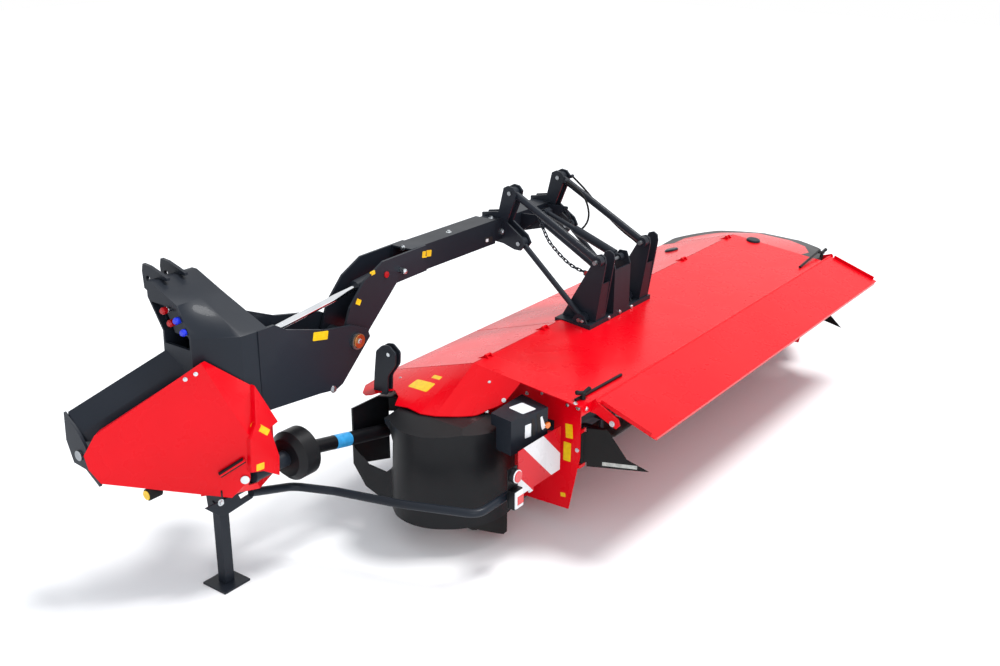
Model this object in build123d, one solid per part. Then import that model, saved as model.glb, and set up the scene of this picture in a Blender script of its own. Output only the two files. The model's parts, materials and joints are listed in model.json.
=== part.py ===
from build123d import *
import os
from math import atan2, cos, degrees, hypot, pi, radians, sin

# Rear-mounted disc mower with a tined conditioner, on its skids and its parking leg.
# Millimetres. +X runs outboard along the cutterbar, +Y is the direction of travel, +Z is up.
# Sizes are given from the hitch: x from its centre line, y from its lower pins, z from the ground.
# The whole model is moved at the end so that its origin lies at the bottom centre of its box.

# Hitch mast and legs
LOWER_PIN_Z = 840
LOWER_PIN_RADIUS = 18.3
LOWER_PIN_TIP_X = 566
PIN_PLATE_OUT_X = 556
PIN_PLATE_IN_X = 456
PIN_PLATE = 16
MAST_LEFT_X = -130
MAST_RIGHT_X = 170
MAST_BASE_Z = 960
MAST_FOLD_Z = 1620
MAST_FOLD_Y = -355
MAST_FRONT_Y = -125
MAST_TOP_Z = 1705
MAST_LOW_FRONT_Y = -230
MAST_WALL = 12
LEG_HOLLOW_TOP_Z = 1240
EYE_SLOT_LEFT_X = 5
MAST_WAIST_Z = 1460
MAST_WAIST_RIGHT_X = 210
EYE_SLOT = 80
EYE_BOSS = 9
HOOK_PLATE = 20
HOOK_HALF_GAP = 48
TOP_PIN_Y = -60
TOP_PIN_Z = 1690
TOP_PIN_RADIUS = 15.9
LEG_ROOT_X = 105
LEG_TIP_X = 540

# Boom support plates and pivot
BOOM_Y = -516
BOOM_SIDE = 160
ARM_PLATE = 15
PIVOT_GAP = 10
SUPPORT_PLATE = 20
PIVOT_X = 872
PIVOT_Z = 1185
PIVOT_RADIUS = 30
RUN_GAP = 0.05
SEAT_GAP = 0.3
MOVE_GAP = 6
SUPPORT_LEFT_X = 141

# Boom, sleeve and inner tube
BOOM_Z = 1512
SLEEVE_START_X = 1420
SLEEVE_END_X = 2260
SLEEVE_OPEN_X = 1730
SLEEVE_WALL = 10
TUBE_START_X = 1760
TUBE_END_X = 3045

# Lift cylinder: eye in the mast, barrel pinned in the arm
LIFT_EYE_X = 60
LIFT_EYE_Z = 1345
LIFT_PIN_X = 1330
LIFT_PIN_Z = 1480
LIFT_BARREL_RADIUS = 42
LIFT_ROD_RADIUS = 20
LIFT_BARREL_FRONT = 330
LIFT_BARREL_REAR = 375
LIFT_EYE_RADIUS = 36
LIFT_EYE_WIDTH = 50
LIFT_PIN_RADIUS = 17.5

# Four-link suspension
NEAR_LINK_X = 2385
LINK_SPACING = 563
HANGER_TOP = (-649, 1759)
HANGER_LOW = (-724, 1433)
TOWER_PIN = (-1314, 1412)
DECK_PIN = (-1209, 1008)
HANGER_PLATE = 15
LINK_EYE_WIDTH = 44
LINK_EYE_RADIUS = 34
LINK_PIN_RADIUS = 14
UPPER_LINK_RADIUS = 24
LOWER_LINK_RADIUS = 19
TOWER_PLATE = 12
TOWER_FOOT_Z = 992
POST_LEFT_X = NEAR_LINK_X + 235
POST_RIGHT_X = NEAR_LINK_X + 435
CENTRE_BAR_X = NEAR_LINK_X + 275
CENTRE_BAR = ((CENTRE_BAR_X, -715, 1500), (CENTRE_BAR_X, -1236, 1215))
CENTRE_BAR_WIDTH = 50
FLOAT_X = NEAR_LINK_X + 390
FLOAT_CYLINDER = ((FLOAT_X, -650, 1545), (FLOAT_X, -1240, 1335))
FLOAT_EYE_WIDTH = 40
FLOAT_BARREL_RADIUS = 30
SMALL_PIN_RADIUS = 12

# Hood
HOOD_IN_X = 1395
HOOD_OUT_X = 4870
FRONT_Y = -430
FRONT_Z = 780
CREASE_Y = -1080
CREASE_Z = 985
HOOD_REAR_Y = -1838
HOOD_REAR_Z = 905
SHEET = 5
CENTRE_IN_X = NEAR_LINK_X - 115
CENTRE_OUT_X = NEAR_LINK_X + 745
PANEL_GAP = 8
FRONT_LIP = 45
HINGE_Y = CREASE_Y
HINGE_Z = CREASE_Z + 10
HINGE_PIN_RADIUS = 5
HINGE_RADIUS = 9
HINGE_WIDTH = 36
INNER_HINGES = (1530, 2130)
OUTER_HINGES = (3250, 4000, 4750)
CURTAIN = 6
CURTAIN_LOW_Z = 260
RIM_END_X = 5500
RIM_WIDTH = 120
RIM_LOW_Z = 420
NOSE_X = 1000

# Rear flap
FLAP_IN_X = 1526
FLAP_OUT_X = 5024
FLAP_HINGE_Y = -1852
FLAP_HINGE_Z = 905
FLAP_DEPTH = 410
FLAP_TILT = 19
FLAP_ROD_RADIUS = 8

# Cutterbar
DISC_COUNT = 10
DISC_PITCH = 400
FIRST_DISC_X = 1350
DISC_Y = -800
BAR_FRONT_Y = -640
BAR_REAR_Y = -985
BAR_LOW_Z = 8
BAR_TOP_Z = 60
BAR_WALL = 10
BAR_IN_X = FIRST_DISC_X - 190
BAR_OUT_X = FIRST_DISC_X + (DISC_COUNT - 1) * DISC_PITCH + 200
SKID_WIDTH = 300
SKID_REAR_Y = -1250
BLADE_REACH = 258
BLADE_WIDTH = 46
BLADE = 4
DISC_LONG = 185
DISC_SHORT = 132
DISC_DRUM_TOP_Z = 330

# Conditioner
ROTOR_Y = -1375
ROTOR_Z = 465
ROTOR_TUBE_RADIUS = 95
ROTOR_WALL = 6
ROTOR_TINE_REACH = 255
ROTOR_SHAFT_RADIUS = 25
SIDE_PLATE = 8
SIDE_IN_X = 1546
SIDE_OUT_X = 4990
TINE_ROWS = 4
TINES_PER_ROW = 22

# Swath boards
BOARD_LENGTH = 400
BOARD_LOW_Z = 425
BOARD_TOP_Z = 670
BOARD = 6
BOARD_TOE = 25
BOARD_PIN_Y = -1722
BOARD_PIN_OFFSET = 40
BOARD_PIN_RADIUS = 10
LUG = 20

# Driveline between the headstock gearbox and the deck gearbox
DRIVE_Y = -640
DRIVE_IN_X = 402
DRIVE_IN_Z = 682
DRIVE_OUT_X = 1156
DRIVE_OUT_Z = 525
DRIVE_TUBE_RADIUS = 41
DRIVE_INNER_RADIUS = 33
KNUCKLE = 32
KNUCKLE_RADIUS = 26
YOKE_PLATE = 16
YOKE_RADIUS = 24
YOKE_LENGTH = 52
CROSS_RADIUS = 12
BELL_RADIUS = 142
BELL_WALL = 8
BELL_CHAMFER = 34

# Red drive cover on the left of the headstock, measured along its big face from its left end
COVER_LEFT = (-620, -120)
COVER_RIGHT = (-50, -620)
COVER_DEPTH = 250
COVER_WALL = 6
COVER_TRAY = 50
COVER_FACE = [(624, 1356), (70, 1003), (8, 897), (23, 816), (75, 730), (721, 575), (845, 700), (845, 905), (755, 1085)]
COVER_RIM = [(640, 1345), (90, 1008), (35, 898), (45, 818), (95, 738), (735, 572), (868, 590), (872, 880), (885, 1175)]
COVER_DEEP_FRONT = [(560, 575), (868, 590), (872, 880), (862, 940), (560, 940)]
COVER_DEEP_BACK = [(600, 575), (957, 585), (960, 857), (940, 940), (600, 940)]

# Parking leg
LEG_X = -60
LEG_Y = -470
LEG_PIVOT_Z = 515
LEG_SIDE = 60
FOOT_SIDE = 180
FOOT = 12

LEG_PIN_RADIUS = 14
GEARBOX_LOW_Z = 620
GEARBOX_TOP_Z = 900
INPUT_Z = 750
INPUT_RADIUS = 17.5
INPUT_NECK_RADIUS = 62
INPUT_BACK_Y = -420
INPUT_FRONT_Y = -190
HANDLE_REACH = 22
HANDLE_RADIUS = 7
DRIVE_NECK_RADIUS = 45
BELL_START_X = 272
BELL_END_X = 405

# Light bar and warning board
LIGHT_BAR_RADIUS = 24
LIGHT_BAR = [
    (60, -586.3, 545), (370, -586.3, 450), (480, -800, 440), (590, -1200, 440), (750, -1604, 440), (1240, -1604, 440),
]
LIGHT_BAR_BENDS = 90
SIGN_LEFT_X = 1065
SIGN_Y = -1640
SIGN_WIDTH = 423
SIGN_HEIGHT = 282
SIGN_LOW_Z = 420
SIGN = 4

# Drum cover
SHIELD_TOP_Z = 741.7
GEARBOX_DECK_TOP_Z = 620
BELT_LOW_Z = 640
BELT_TOP_Z = 850
SHAFT_NOTCH = [(-590, 900), (-590, 500), (-700, 418), (-839, 410), (-911, 478), (-924, 649), (-843, 728), (-815, 900)]
DRUM_LOW_Z = 170
DRUM_TOP_Z = 774
DRUM_EDGE_Z = 748
DRUM_FRONT_Y = -577
DRUM_REAR_Y = -1442
DRUM_END_X = 1320
DRUM_WALL = 8
APRON = 7
APRON_LOW_Z = 45
APRON_HIGH_Z = 250

# Chains and hoses of the suspension, each as its route in y and z at one x
CHAIN_X = NEAR_LINK_X + 165
CHAIN_ROUTE = [
    (-734, 1571), (-775, 1503), (-825, 1422), (-883, 1368), (-948, 1320), (-1020, 1282), (-1098, 1264), (-1137, 1259),
]
SHORT_CHAIN_X = NEAR_LINK_X + 465
SHORT_CHAIN_ROUTE = [(-751, 1573), (-785, 1515), (-814, 1462)]
CHAIN_PITCH = 28
CHAIN_WIRE = 6
CHAIN_WIDTH = 24
CHAIN_PIN_RADIUS = 4
HOSE_RADIUS = 7
LINK_HOSE = [
    (3012, -700, 1757), (3020, -785, 1692), (3030, -880, 1600), (3046, -985, 1500), (3072, -1090, 1410), (3104, -1178, 1350),
    (3112, -1250, 1285), (3118, -1268, 1205), (3118, -1250, 1125), (3118, -1226, 1050), (3118, -1212, 972.3),
]
LOOP_HOSE = [
    (2815, -905, 1455), (2852, -925, 1478), (2876, -934, 1560), (2880, -890, 1668), (2880, -800, 1726), (2880, -735, 1752),
]


def plane_xz(y):
    return Plane(origin=(0, y, 0), x_dir=(1, 0, 0), z_dir=(0, -1, 0))


def plane_yz(x):
    return Plane(origin=(x, 0, 0), x_dir=(0, 1, 0), z_dir=(1, 0, 0))


def outline(points, rounding=0):
    face = Polygon(*points, align=None)
    if rounding:
        face = fillet(face.vertices(), rounding)
    return face


def across_y(points, y_low, y_high, rounding=0):
    return extrude(plane_xz(y_high) * outline(points, rounding), amount=y_high - y_low, dir=(0, -1, 0))


def across_x(points, x_low, x_high, rounding=0):
    return extrude(plane_yz(x_low) * outline(points, rounding), amount=x_high - x_low, dir=(1, 0, 0))


def raised(face, z_low, z_high):
    """The upright prism over a face drawn in plan."""
    return extrude(Plane.XY.offset(z_low) * face, amount=z_high - z_low, dir=(0, 0, 1))


def across_z(points, z_low, z_high, rounding=0):
    return raised(outline(points, rounding), z_low, z_high)


def block(x_low, x_high, y_low, y_high, z_low, z_high):
    size = (x_high - x_low, y_high - y_low, z_high - z_low)
    return Pos((x_low + x_high) / 2, (y_low + y_high) / 2, (z_low + z_high) / 2) * Box(*size)


def bar(start, end, radius):
    run = Vector(*end) - Vector(*start)
    return extrude(Plane(origin=start, z_dir=run) * Circle(radius), amount=run.length)


def pipe(start, end, outer, inner):
    return bar(start, end, outer) - bar(start, end, inner)


def square_bar(start, end, width, height):
    run = Vector(*end) - Vector(*start)
    return extrude(Plane(origin=start, x_dir=(1, 0, 0), z_dir=run) * Rectangle(width, height), amount=run.length)


def ring_x(x, width, centre, outer, inner):
    """An eye whose hole runs along X, with its middle at x."""
    y, z = centre
    return pipe((x - width / 2, y, z), (x + width / 2, y, z), outer, inner)


def bar_x(x_low, x_high, centre, radius):
    y, z = centre
    return bar((x_low, y, z), (x_high, y, z), radius)


def bar_y(y_low, y_high, centre, radius):
    x, z = centre
    return bar((x, y_low, z), (x, y_high, z), radius)


def joined(pieces):
    pieces = list(pieces)
    return pieces[0] + pieces[1:] if len(pieces) > 1 else pieces[0]


NODES = {}

# Lines that the arm and its support plates share
ARM_REAR = BOOM_Y - BOOM_SIDE / 2 - ARM_PLATE
ARM_FRONT = BOOM_Y + BOOM_SIDE / 2 + ARM_PLATE
SUPPORT_REAR = ARM_REAR - PIVOT_GAP - SUPPORT_PLATE
SUPPORT_FRONT = ARM_FRONT + PIVOT_GAP + SUPPORT_PLATE
FAR_LINK_X = NEAR_LINK_X + LINK_SPACING


def hitch_mast():
    """The welded mast: a tapered box, its head and the two hollow legs that reach forward to the lower pins."""
    low = [(140, SUPPORT_REAR), (41, -625), (-150, -450), (-150, MAST_LOW_FRONT_Y), (140, MAST_LOW_FRONT_Y)]
    waist = [
        (MAST_WAIST_RIGHT_X, SUPPORT_REAR), (41, -625), (-135, -450),
        (-135, MAST_LOW_FRONT_Y), (150, MAST_LOW_FRONT_Y),
    ]
    high = [
        (MAST_RIGHT_X, MAST_FOLD_Y), (30, MAST_FOLD_Y), (MAST_LEFT_X, MAST_FOLD_Y),
        (MAST_LEFT_X, MAST_FRONT_Y), (MAST_RIGHT_X, MAST_FRONT_Y),
    ]
    levels = [(MAST_BASE_Z, low), (MAST_WAIST_Z, waist), (MAST_FOLD_Z, high)]
    sections = [Plane.XY.offset(z) * outline(points) for z, points in levels]
    mast = loft(sections[:2], ruled=True) + loft(sections[1:], ruled=True)
    head = [
        (MAST_FOLD_Y, MAST_FOLD_Z), (MAST_FRONT_Y, MAST_FOLD_Z),
        (MAST_FRONT_Y, MAST_TOP_Z), (MAST_FRONT_Y - 40, MAST_TOP_Z),
    ]
    mast += across_x(head, MAST_LEFT_X, MAST_RIGHT_X)
    root = outline([(-270, 1380), (-400, 1320), (-480, 1010), (-240, 1010)])
    tip = outline([(80, 1060), (-10, 960), (-30, 800), (60, 790)])
    plate = [(95, 1060), (-15, 965), (-60, 900), (-90, 780), (-150, 722), (-140, 700), (-40, 770), (60, 780), (105, 900)]
    for side in (-1, 1):
        mast += loft([plane_yz(side * LEG_ROOT_X) * root, plane_yz(side * LEG_TIP_X) * tip], ruled=True)
        for x in (PIN_PLATE_IN_X, PIN_PLATE_OUT_X - PIN_PLATE):
            low_x = x if side > 0 else -x - PIN_PLATE
            mast += across_x(plate, low_x, low_x + PIN_PLATE)
    form = mast
    hollow_base = offset(outline(low), amount=-MAST_WALL)
    mast -= raised(hollow_base, MAST_BASE_Z + MAST_WALL, LEG_HOLLOW_TOP_Z)
    for side in (-1, 1):
        inner_root = offset(root, amount=-MAST_WALL)
        inner_tip = offset(tip, amount=-MAST_WALL)
        ends = (side * LEG_ROOT_X, side * (PIN_PLATE_IN_X - MAST_WALL))
        mast -= loft([plane_yz(ends[0]) * inner_root, plane_yz(ends[1]) * inner_tip], ruled=True)
        fork = sorted((side * (PIN_PLATE_IN_X + PIN_PLATE), side * (PIN_PLATE_OUT_X - PIN_PLATE)))
        mast -= block(fork[0], fork[1], -75, 75, LOWER_PIN_Z - 90, LOWER_PIN_Z + 75)
        ends = sorted((side * (PIN_PLATE_IN_X - 1), side * (PIN_PLATE_OUT_X + 40)))
        mast -= bar_x(ends[0], ends[1], (0, LOWER_PIN_Z), LOWER_PIN_RADIUS + RUN_GAP)
    rear, front = BOOM_Y - EYE_SLOT / 2, BOOM_Y + EYE_SLOT / 2
    slot = [(EYE_SLOT_LEFT_X, 1262), (300, 1275), (300, 1560), (170, 1496), (110, 1464), (60, 1452), (EYE_SLOT_LEFT_X, 1420)]
    mast -= across_y(slot, rear, front)
    mast -= block(-118, 128, front + 56, MAST_LOW_FRONT_Y - MAST_WALL, LEG_HOLLOW_TOP_Z - 2, 1500)
    mast -= block(MAST_LEFT_X + MAST_WALL, MAST_RIGHT_X - 25, MAST_FOLD_Y + MAST_WALL, -216, 1499, MAST_FOLD_Z - MAST_WALL)
    for low_y, high_y in ((rear, rear + EYE_BOSS), (front - EYE_BOSS, front)):
        mast += bar_y(low_y, high_y, (LIFT_EYE_X, LIFT_EYE_Z), LIFT_EYE_RADIUS - 6)
    return mast, form


def top_link_hooks():
    hook = [
        (MAST_FRONT_Y - 90, MAST_TOP_Z + 15), (TOP_PIN_Y - 20, MAST_TOP_Z + 55), (TOP_PIN_Y + 35, MAST_TOP_Z + 60),
        (TOP_PIN_Y + 45, MAST_TOP_Z + 20), (TOP_PIN_Y + 40, TOP_PIN_Z - 60), (MAST_FRONT_Y + 10, 1590),
        (MAST_FRONT_Y + 0.0, 1580), (MAST_FRONT_Y, MAST_TOP_Z), (MAST_FRONT_Y - 90, MAST_TOP_Z),
    ]
    plates = []
    for side in (-1, 1):
        low_x, high_x = sorted((side * HOOK_HALF_GAP, side * (HOOK_HALF_GAP + HOOK_PLATE)))
        plate = across_x(hook, low_x, high_x)
        plate -= bar_x(low_x - 1, high_x + 1, (TOP_PIN_Y, TOP_PIN_Z), TOP_PIN_RADIUS)
        plates.append(plate)
    return joined(plates)


def boom_support_plates():
    """Two plates that carry the boom's pivot; the rear one is deeper on the left."""
    rear = [
        (SUPPORT_LEFT_X, 1462), (262, 1462), (342, 1411), (638, 1322), (840, 1290), (967, 1232),
        (985, 1180), (744, 962), (690, 945), (560, 965), (193, 1000), (SUPPORT_LEFT_X, 1020),
    ]
    front = [
        (SUPPORT_LEFT_X, 1545), (306, 1476), (475, 1404), (820, 1330), (967, 1250),
        (985, 1180), (744, 962), (690, 945), (560, 965), (193, 1000), (SUPPORT_LEFT_X, 1020),
    ]
    plates = across_y(rear, SUPPORT_REAR, SUPPORT_REAR + SUPPORT_PLATE)
    plates += across_y(front, SUPPORT_FRONT - SUPPORT_PLATE, SUPPORT_FRONT)
    plates += across_y([(190, 1010), (520, 975), (520, 995), (190, 1030)], SUPPORT_REAR, SUPPORT_FRONT)
    plates += block(SUPPORT_LEFT_X, SUPPORT_LEFT_X + SUPPORT_PLATE, SUPPORT_REAR, SUPPORT_FRONT, 1020, 1200)
    plates -= bar_y(SUPPORT_REAR - 1, SUPPORT_FRONT + 1, (PIVOT_X, PIVOT_Z), PIVOT_RADIUS + RUN_GAP)
    return plates


def pivot_pin():
    pin = bar_y(SUPPORT_REAR - 14, SUPPORT_FRONT + 14, (PIVOT_X, PIVOT_Z), PIVOT_RADIUS)
    for low, high in ((SUPPORT_REAR - 14, SUPPORT_REAR), (SUPPORT_FRONT, SUPPORT_FRONT + 14)):
        pin += bar_y(low, high, (PIVOT_X, PIVOT_Z), PIVOT_RADIUS + 18)
    return pin


def lower_link_pins():
    pins = []
    for side in (-1, 1):
        ends = sorted((side * PIN_PLATE_IN_X, side * LOWER_PIN_TIP_X))
        pin = bar_x(ends[0], ends[1], (0, LOWER_PIN_Z), LOWER_PIN_RADIUS)
        heads = sorted((side * PIN_PLATE_OUT_X, side * LOWER_PIN_TIP_X))
        pins.append(pin + bar_x(heads[0], heads[1], (0, LOWER_PIN_Z), LOWER_PIN_RADIUS + 10))
    return joined(pins)


COVER_RUN = Vector(COVER_RIGHT[0] - COVER_LEFT[0], COVER_RIGHT[1] - COVER_LEFT[1], 0).normalized()
COVER_INWARD = Vector(-COVER_RUN.Y, COVER_RUN.X, 0)


def cover_plane(depth):
    """The plane of the cover's big face, moved inward; its x runs along the face and its y is the height."""
    start = Vector(COVER_LEFT[0], COVER_LEFT[1], 0) + COVER_INWARD * depth
    return Plane(origin=start, x_dir=COVER_RUN, z_dir=-COVER_INWARD)


def cover_point(u, depth, z):
    spot = Vector(COVER_LEFT[0], COVER_LEFT[1], 0) + COVER_RUN * u + COVER_INWARD * depth
    return (spot.X, spot.Y, z)


def drive_cover():
    """The faceted red cover: a shallow tray over the mast and a deep pocket over the gearbox."""
    face, rim = outline(COVER_FACE), outline(COVER_RIM)
    deep_front, deep_back = outline(COVER_DEEP_FRONT), outline(COVER_DEEP_BACK)
    tray = loft([cover_plane(0) * face, cover_plane(COVER_TRAY) * rim], ruled=True)
    deep = loft([cover_plane(COVER_TRAY) * deep_front, cover_plane(COVER_DEPTH) * deep_back], ruled=True)
    face, rim, deep_front, deep_back = (offset(shape, amount=-COVER_WALL) for shape in (face, rim, deep_front, deep_back))
    hollow = loft([cover_plane(COVER_WALL) * face, cover_plane(COVER_TRAY + 1) * rim], ruled=True)
    pocket = loft([cover_plane(COVER_TRAY - 1) * deep_front, cover_plane(COVER_DEPTH + 1) * deep_back], ruled=True)
    cover = tray + deep - hollow - pocket - cover_box(620, 850, COVER_TRAY + 1, COVER_DEPTH + 1, 900, 945)
    cover -= block(LEG_X - 60, LEG_X + 60, LEG_Y - 95, LEG_Y + 90, 560, GEARBOX_LOW_Z + MOVE_GAP)
    cover -= bar_x(0, DRIVE_IN_X, (DRIVE_Y, DRIVE_IN_Z), DRIVE_NECK_RADIUS + MOVE_GAP)
    cover -= bar_y(INPUT_BACK_Y, INPUT_FRONT_Y, (0, INPUT_Z), INPUT_NECK_RADIUS + MOVE_GAP)
    return joined([cover] + cover_handle())


def cover_handle():
    """The grip on the cover's big face, low at the right, and the round lock below it."""
    low, high = (670, 723), (798, 797)
    grip = bar(cover_point(low[0], -HANDLE_REACH, low[1]), cover_point(high[0], -HANDLE_REACH, high[1]), HANDLE_RADIUS)
    for u, z in (low, high):
        grip += bar(cover_point(u, -HANDLE_REACH, z), cover_point(u, COVER_WALL / 2, z), HANDLE_RADIUS)
    return [grip, bar(cover_point(795, -4, 676), cover_point(795, COVER_WALL / 2, 676), 15)]


def cover_box(u_low, u_high, depth_low, depth_high, z_low, z_high):
    face = outline([(u_low, z_low), (u_high, z_low), (u_high, z_high), (u_low, z_high)])
    return extrude(cover_plane(depth_high) * face, amount=depth_high - depth_low, dir=-COVER_INWARD)


def drive_gearbox():
    """The gearbox behind the cover, with its input at the front and the output joint's cross at the right."""
    box = cover_box(620, 838, 60, 235, GEARBOX_LOW_Z, GEARBOX_TOP_Z)
    box += cover_box(650, 750, COVER_WALL + SEAT_GAP, 60, 650, 800)
    box += cover_box(660, 780, 90, 200, GEARBOX_TOP_Z, MAST_BASE_Z)
    box += bar_y(INPUT_BACK_Y, INPUT_FRONT_Y, (0, INPUT_Z), INPUT_NECK_RADIUS)
    box += bar_y(INPUT_FRONT_Y, -60, (0, INPUT_Z), INPUT_RADIUS)
    box += bar_x(30, DRIVE_IN_X - 50, (DRIVE_Y, DRIVE_IN_Z), DRIVE_NECK_RADIUS)
    rear, front = DRIVE_Y - KNUCKLE / 2, DRIVE_Y + KNUCKLE / 2
    box += block(DRIVE_IN_X - 50, DRIVE_IN_X, rear, front, DRIVE_IN_Z - 20, DRIVE_IN_Z + 20)
    box += bar_y(rear, front, (DRIVE_IN_X, DRIVE_IN_Z), KNUCKLE_RADIUS)
    reach = KNUCKLE / 2 + 1 + YOKE_PLATE + 3
    return box + bar_y(DRIVE_Y - reach, DRIVE_Y + reach, (DRIVE_IN_X, DRIVE_IN_Z), CROSS_RADIUS)


def shaft_guard_bell():
    """The cup round the output joint, open towards the shaft."""
    axis = (DRIVE_Y, DRIVE_IN_Z)

    def cup(start_x, end_x, radius, corner):
        body = bar_x(start_x, end_x, axis, radius)
        return chamfer(body.edges().filter_by(GeomType.CIRCLE).sort_by(Axis.X)[0], corner)

    bell = cup(BELL_START_X, BELL_END_X, BELL_RADIUS, BELL_CHAMFER)
    bell -= cup(BELL_START_X + BELL_WALL, BELL_END_X + 1, BELL_RADIUS - BELL_WALL, BELL_CHAMFER - BELL_WALL / 2)
    return bell - bar_x(BELL_START_X - 1, BELL_END_X, axis, DRIVE_NECK_RADIUS + SEAT_GAP)


def stand_bracket():
    """The trapezoid plate under the gearbox with its slot, and the two cheeks that hold the parking leg."""
    plate = [(-230, 566), (160, 566), (130, 530), (90, 490), (-90, 470), (-140, 480)]
    slot = [(-5, 550), (115, 550), (105, 525), (10, 515)]
    bracket = across_y(plate, LEG_Y - 92, LEG_Y - 82) - across_y(slot, LEG_Y - 93, LEG_Y - 81)
    cheek = [(LEG_Y - 82, GEARBOX_LOW_Z), (LEG_Y + 60, GEARBOX_LOW_Z), (LEG_Y + 45, LEG_PIVOT_Z - 40), (LEG_Y - 82, LEG_PIVOT_Z - 40)]
    for low_x in (LEG_X - LEG_SIDE / 2 - MOVE_GAP - 10, LEG_X + LEG_SIDE / 2 + MOVE_GAP):
        bracket += across_x(cheek, low_x, low_x + 10)
    bracket -= bar_x(LEG_X - 80, LEG_X + 80, (LEG_Y, LEG_PIVOT_Z), LEG_PIN_RADIUS + RUN_GAP)
    return bracket


def parking_leg():
    leg = block(LEG_X - LEG_SIDE / 2, LEG_X + LEG_SIDE / 2, LEG_Y - LEG_SIDE / 2, LEG_Y + LEG_SIDE / 2, FOOT, LEG_PIVOT_Z + 32)
    leg += block(LEG_X - FOOT_SIDE / 2, LEG_X + FOOT_SIDE / 2, LEG_Y - FOOT_SIDE / 2, LEG_Y + FOOT_SIDE / 2, 0, FOOT)
    leg += bar_x(LEG_X - LEG_SIDE / 2 - 22, LEG_X + LEG_SIDE / 2 + 22, (LEG_Y, LEG_PIVOT_Z), LEG_PIN_RADIUS)
    return leg


def light_bar():
    path = FilletPolyline(*LIGHT_BAR, radius=LIGHT_BAR_BENDS)
    start = Plane(origin=LIGHT_BAR[0], z_dir=Vector(*LIGHT_BAR[1]) - Vector(*LIGHT_BAR[0]))
    return sweep(start * Circle(LIGHT_BAR_RADIUS), path=path)


def warning_board():
    low_x = SIGN_LEFT_X
    board = block(low_x, low_x + SIGN_WIDTH, SIGN_Y - SIGN, SIGN_Y, SIGN_LOW_Z, SIGN_LOW_Z + SIGN_HEIGHT)
    bracket_y = LIGHT_BAR[-1][1] - LIGHT_BAR_RADIUS - SEAT_GAP
    board += block(low_x + 120, low_x + 160, SIGN_Y, bracket_y, SIGN_LOW_Z - 25, SIGN_LOW_Z + 200)
    return board


def lamps():
    lamp_x = SIGN_LEFT_X - 48
    carrier = block(lamp_x - 45, lamp_x + 40, SIGN_Y - 2, SIGN_Y + 4, SIGN_LOW_Z - 40, SIGN_LOW_Z + 205)
    clamp_y = LIGHT_BAR[-1][1] - LIGHT_BAR_RADIUS - SEAT_GAP
    carrier += block(lamp_x - 20, lamp_x + 20, SIGN_Y + 4, clamp_y, SIGN_LOW_Z + 5, SIGN_LOW_Z + 35)
    carrier += bar_y(SIGN_Y - 32, SIGN_Y - 2, (lamp_x, SIGN_LOW_Z + 160), 40)
    carrier += block(lamp_x - 42, lamp_x + 38, SIGN_Y - 42, SIGN_Y - 2, SIGN_LOW_Z - 30, SIGN_LOW_Z + 80)
    return carrier


def build_headstock():
    NODES["hitch_mast"], mast_form = hitch_mast()
    NODES["top_link_hooks"] = top_link_hooks()
    NODES["boom_support_plates"] = boom_support_plates() - mast_form
    NODES["boom_pivot_pin"] = pivot_pin()
    NODES["lower_link_pins"] = lower_link_pins()
    NODES["drive_cover"] = drive_cover()
    NODES["drive_gearbox"] = drive_gearbox()
    NODES["shaft_guard_bell"] = shaft_guard_bell()
    NODES["stand_bracket"] = stand_bracket()
    NODES["parking_leg"] = parking_leg()
    NODES["light_bar"] = light_bar()
    NODES["warning_board"] = warning_board()
    NODES["marker_lamps"] = lamps()


def boom_arm():
    """Two bent plates from the pivot up to the sleeve, tied by the pivot tube and a web under the lift cylinder."""
    side = [
        (PIVOT_X - 70, PIVOT_Z + 60), (860, 1380), (990, 1510), (1150, 1585), (SLEEVE_START_X + 120, 1592),
        (SLEEVE_START_X + 120, 1432), (1262, 1425), (1012, PIVOT_Z + 20), (PIVOT_X + 80, PIVOT_Z - 75), (PIVOT_X - 75, PIVOT_Z - 60),
    ]
    arm = across_y(side, ARM_REAR, ARM_REAR + ARM_PLATE)
    arm += across_y(side, ARM_FRONT - ARM_PLATE, ARM_FRONT)
    arm += bar_y(ARM_REAR, ARM_FRONT, (PIVOT_X, PIVOT_Z), PIVOT_RADIUS + 22)
    web = [(1030, 1216), (1200, 1369), (1190, 1380), (1020, 1227)]
    arm += across_y(web, ARM_REAR + ARM_PLATE, ARM_FRONT - ARM_PLATE)
    arm -= bar_y(ARM_REAR - 1, ARM_FRONT + 1, (PIVOT_X, PIVOT_Z), PIVOT_RADIUS + RUN_GAP)
    arm -= bar_y(ARM_REAR - 1, ARM_FRONT + 1, (LIFT_PIN_X, LIFT_PIN_Z), LIFT_PIN_RADIUS + RUN_GAP)
    return arm


def boom_sleeve():
    half = BOOM_SIDE / 2
    low_y, high_y, low_z, high_z = BOOM_Y - half, BOOM_Y + half, BOOM_Z - half, BOOM_Z + half
    sleeve = block(SLEEVE_START_X, SLEEVE_END_X, low_y, high_y, low_z, high_z)
    wall = SLEEVE_WALL
    sleeve -= block(SLEEVE_START_X - 1, SLEEVE_END_X + 1, low_y + wall, high_y - wall, low_z + wall, high_z - wall)
    sleeve -= block(SLEEVE_START_X - 1, SLEEVE_OPEN_X, low_y + wall, high_y - wall, low_z - 1, low_z + wall + 1)
    return sleeve


INNER_SIDE = BOOM_SIDE - 2 * SLEEVE_WALL - 2 * SEAT_GAP


def inner_tube():
    half = INNER_SIDE / 2
    wall = SLEEVE_WALL
    tube = block(TUBE_START_X, TUBE_END_X, BOOM_Y - half, BOOM_Y + half, BOOM_Z - half, BOOM_Z + half)
    tube -= block(TUBE_START_X - 1, TUBE_END_X - wall, BOOM_Y - half + wall, BOOM_Y + half - wall, BOOM_Z - half + wall, BOOM_Z + half - wall)
    return tube


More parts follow.
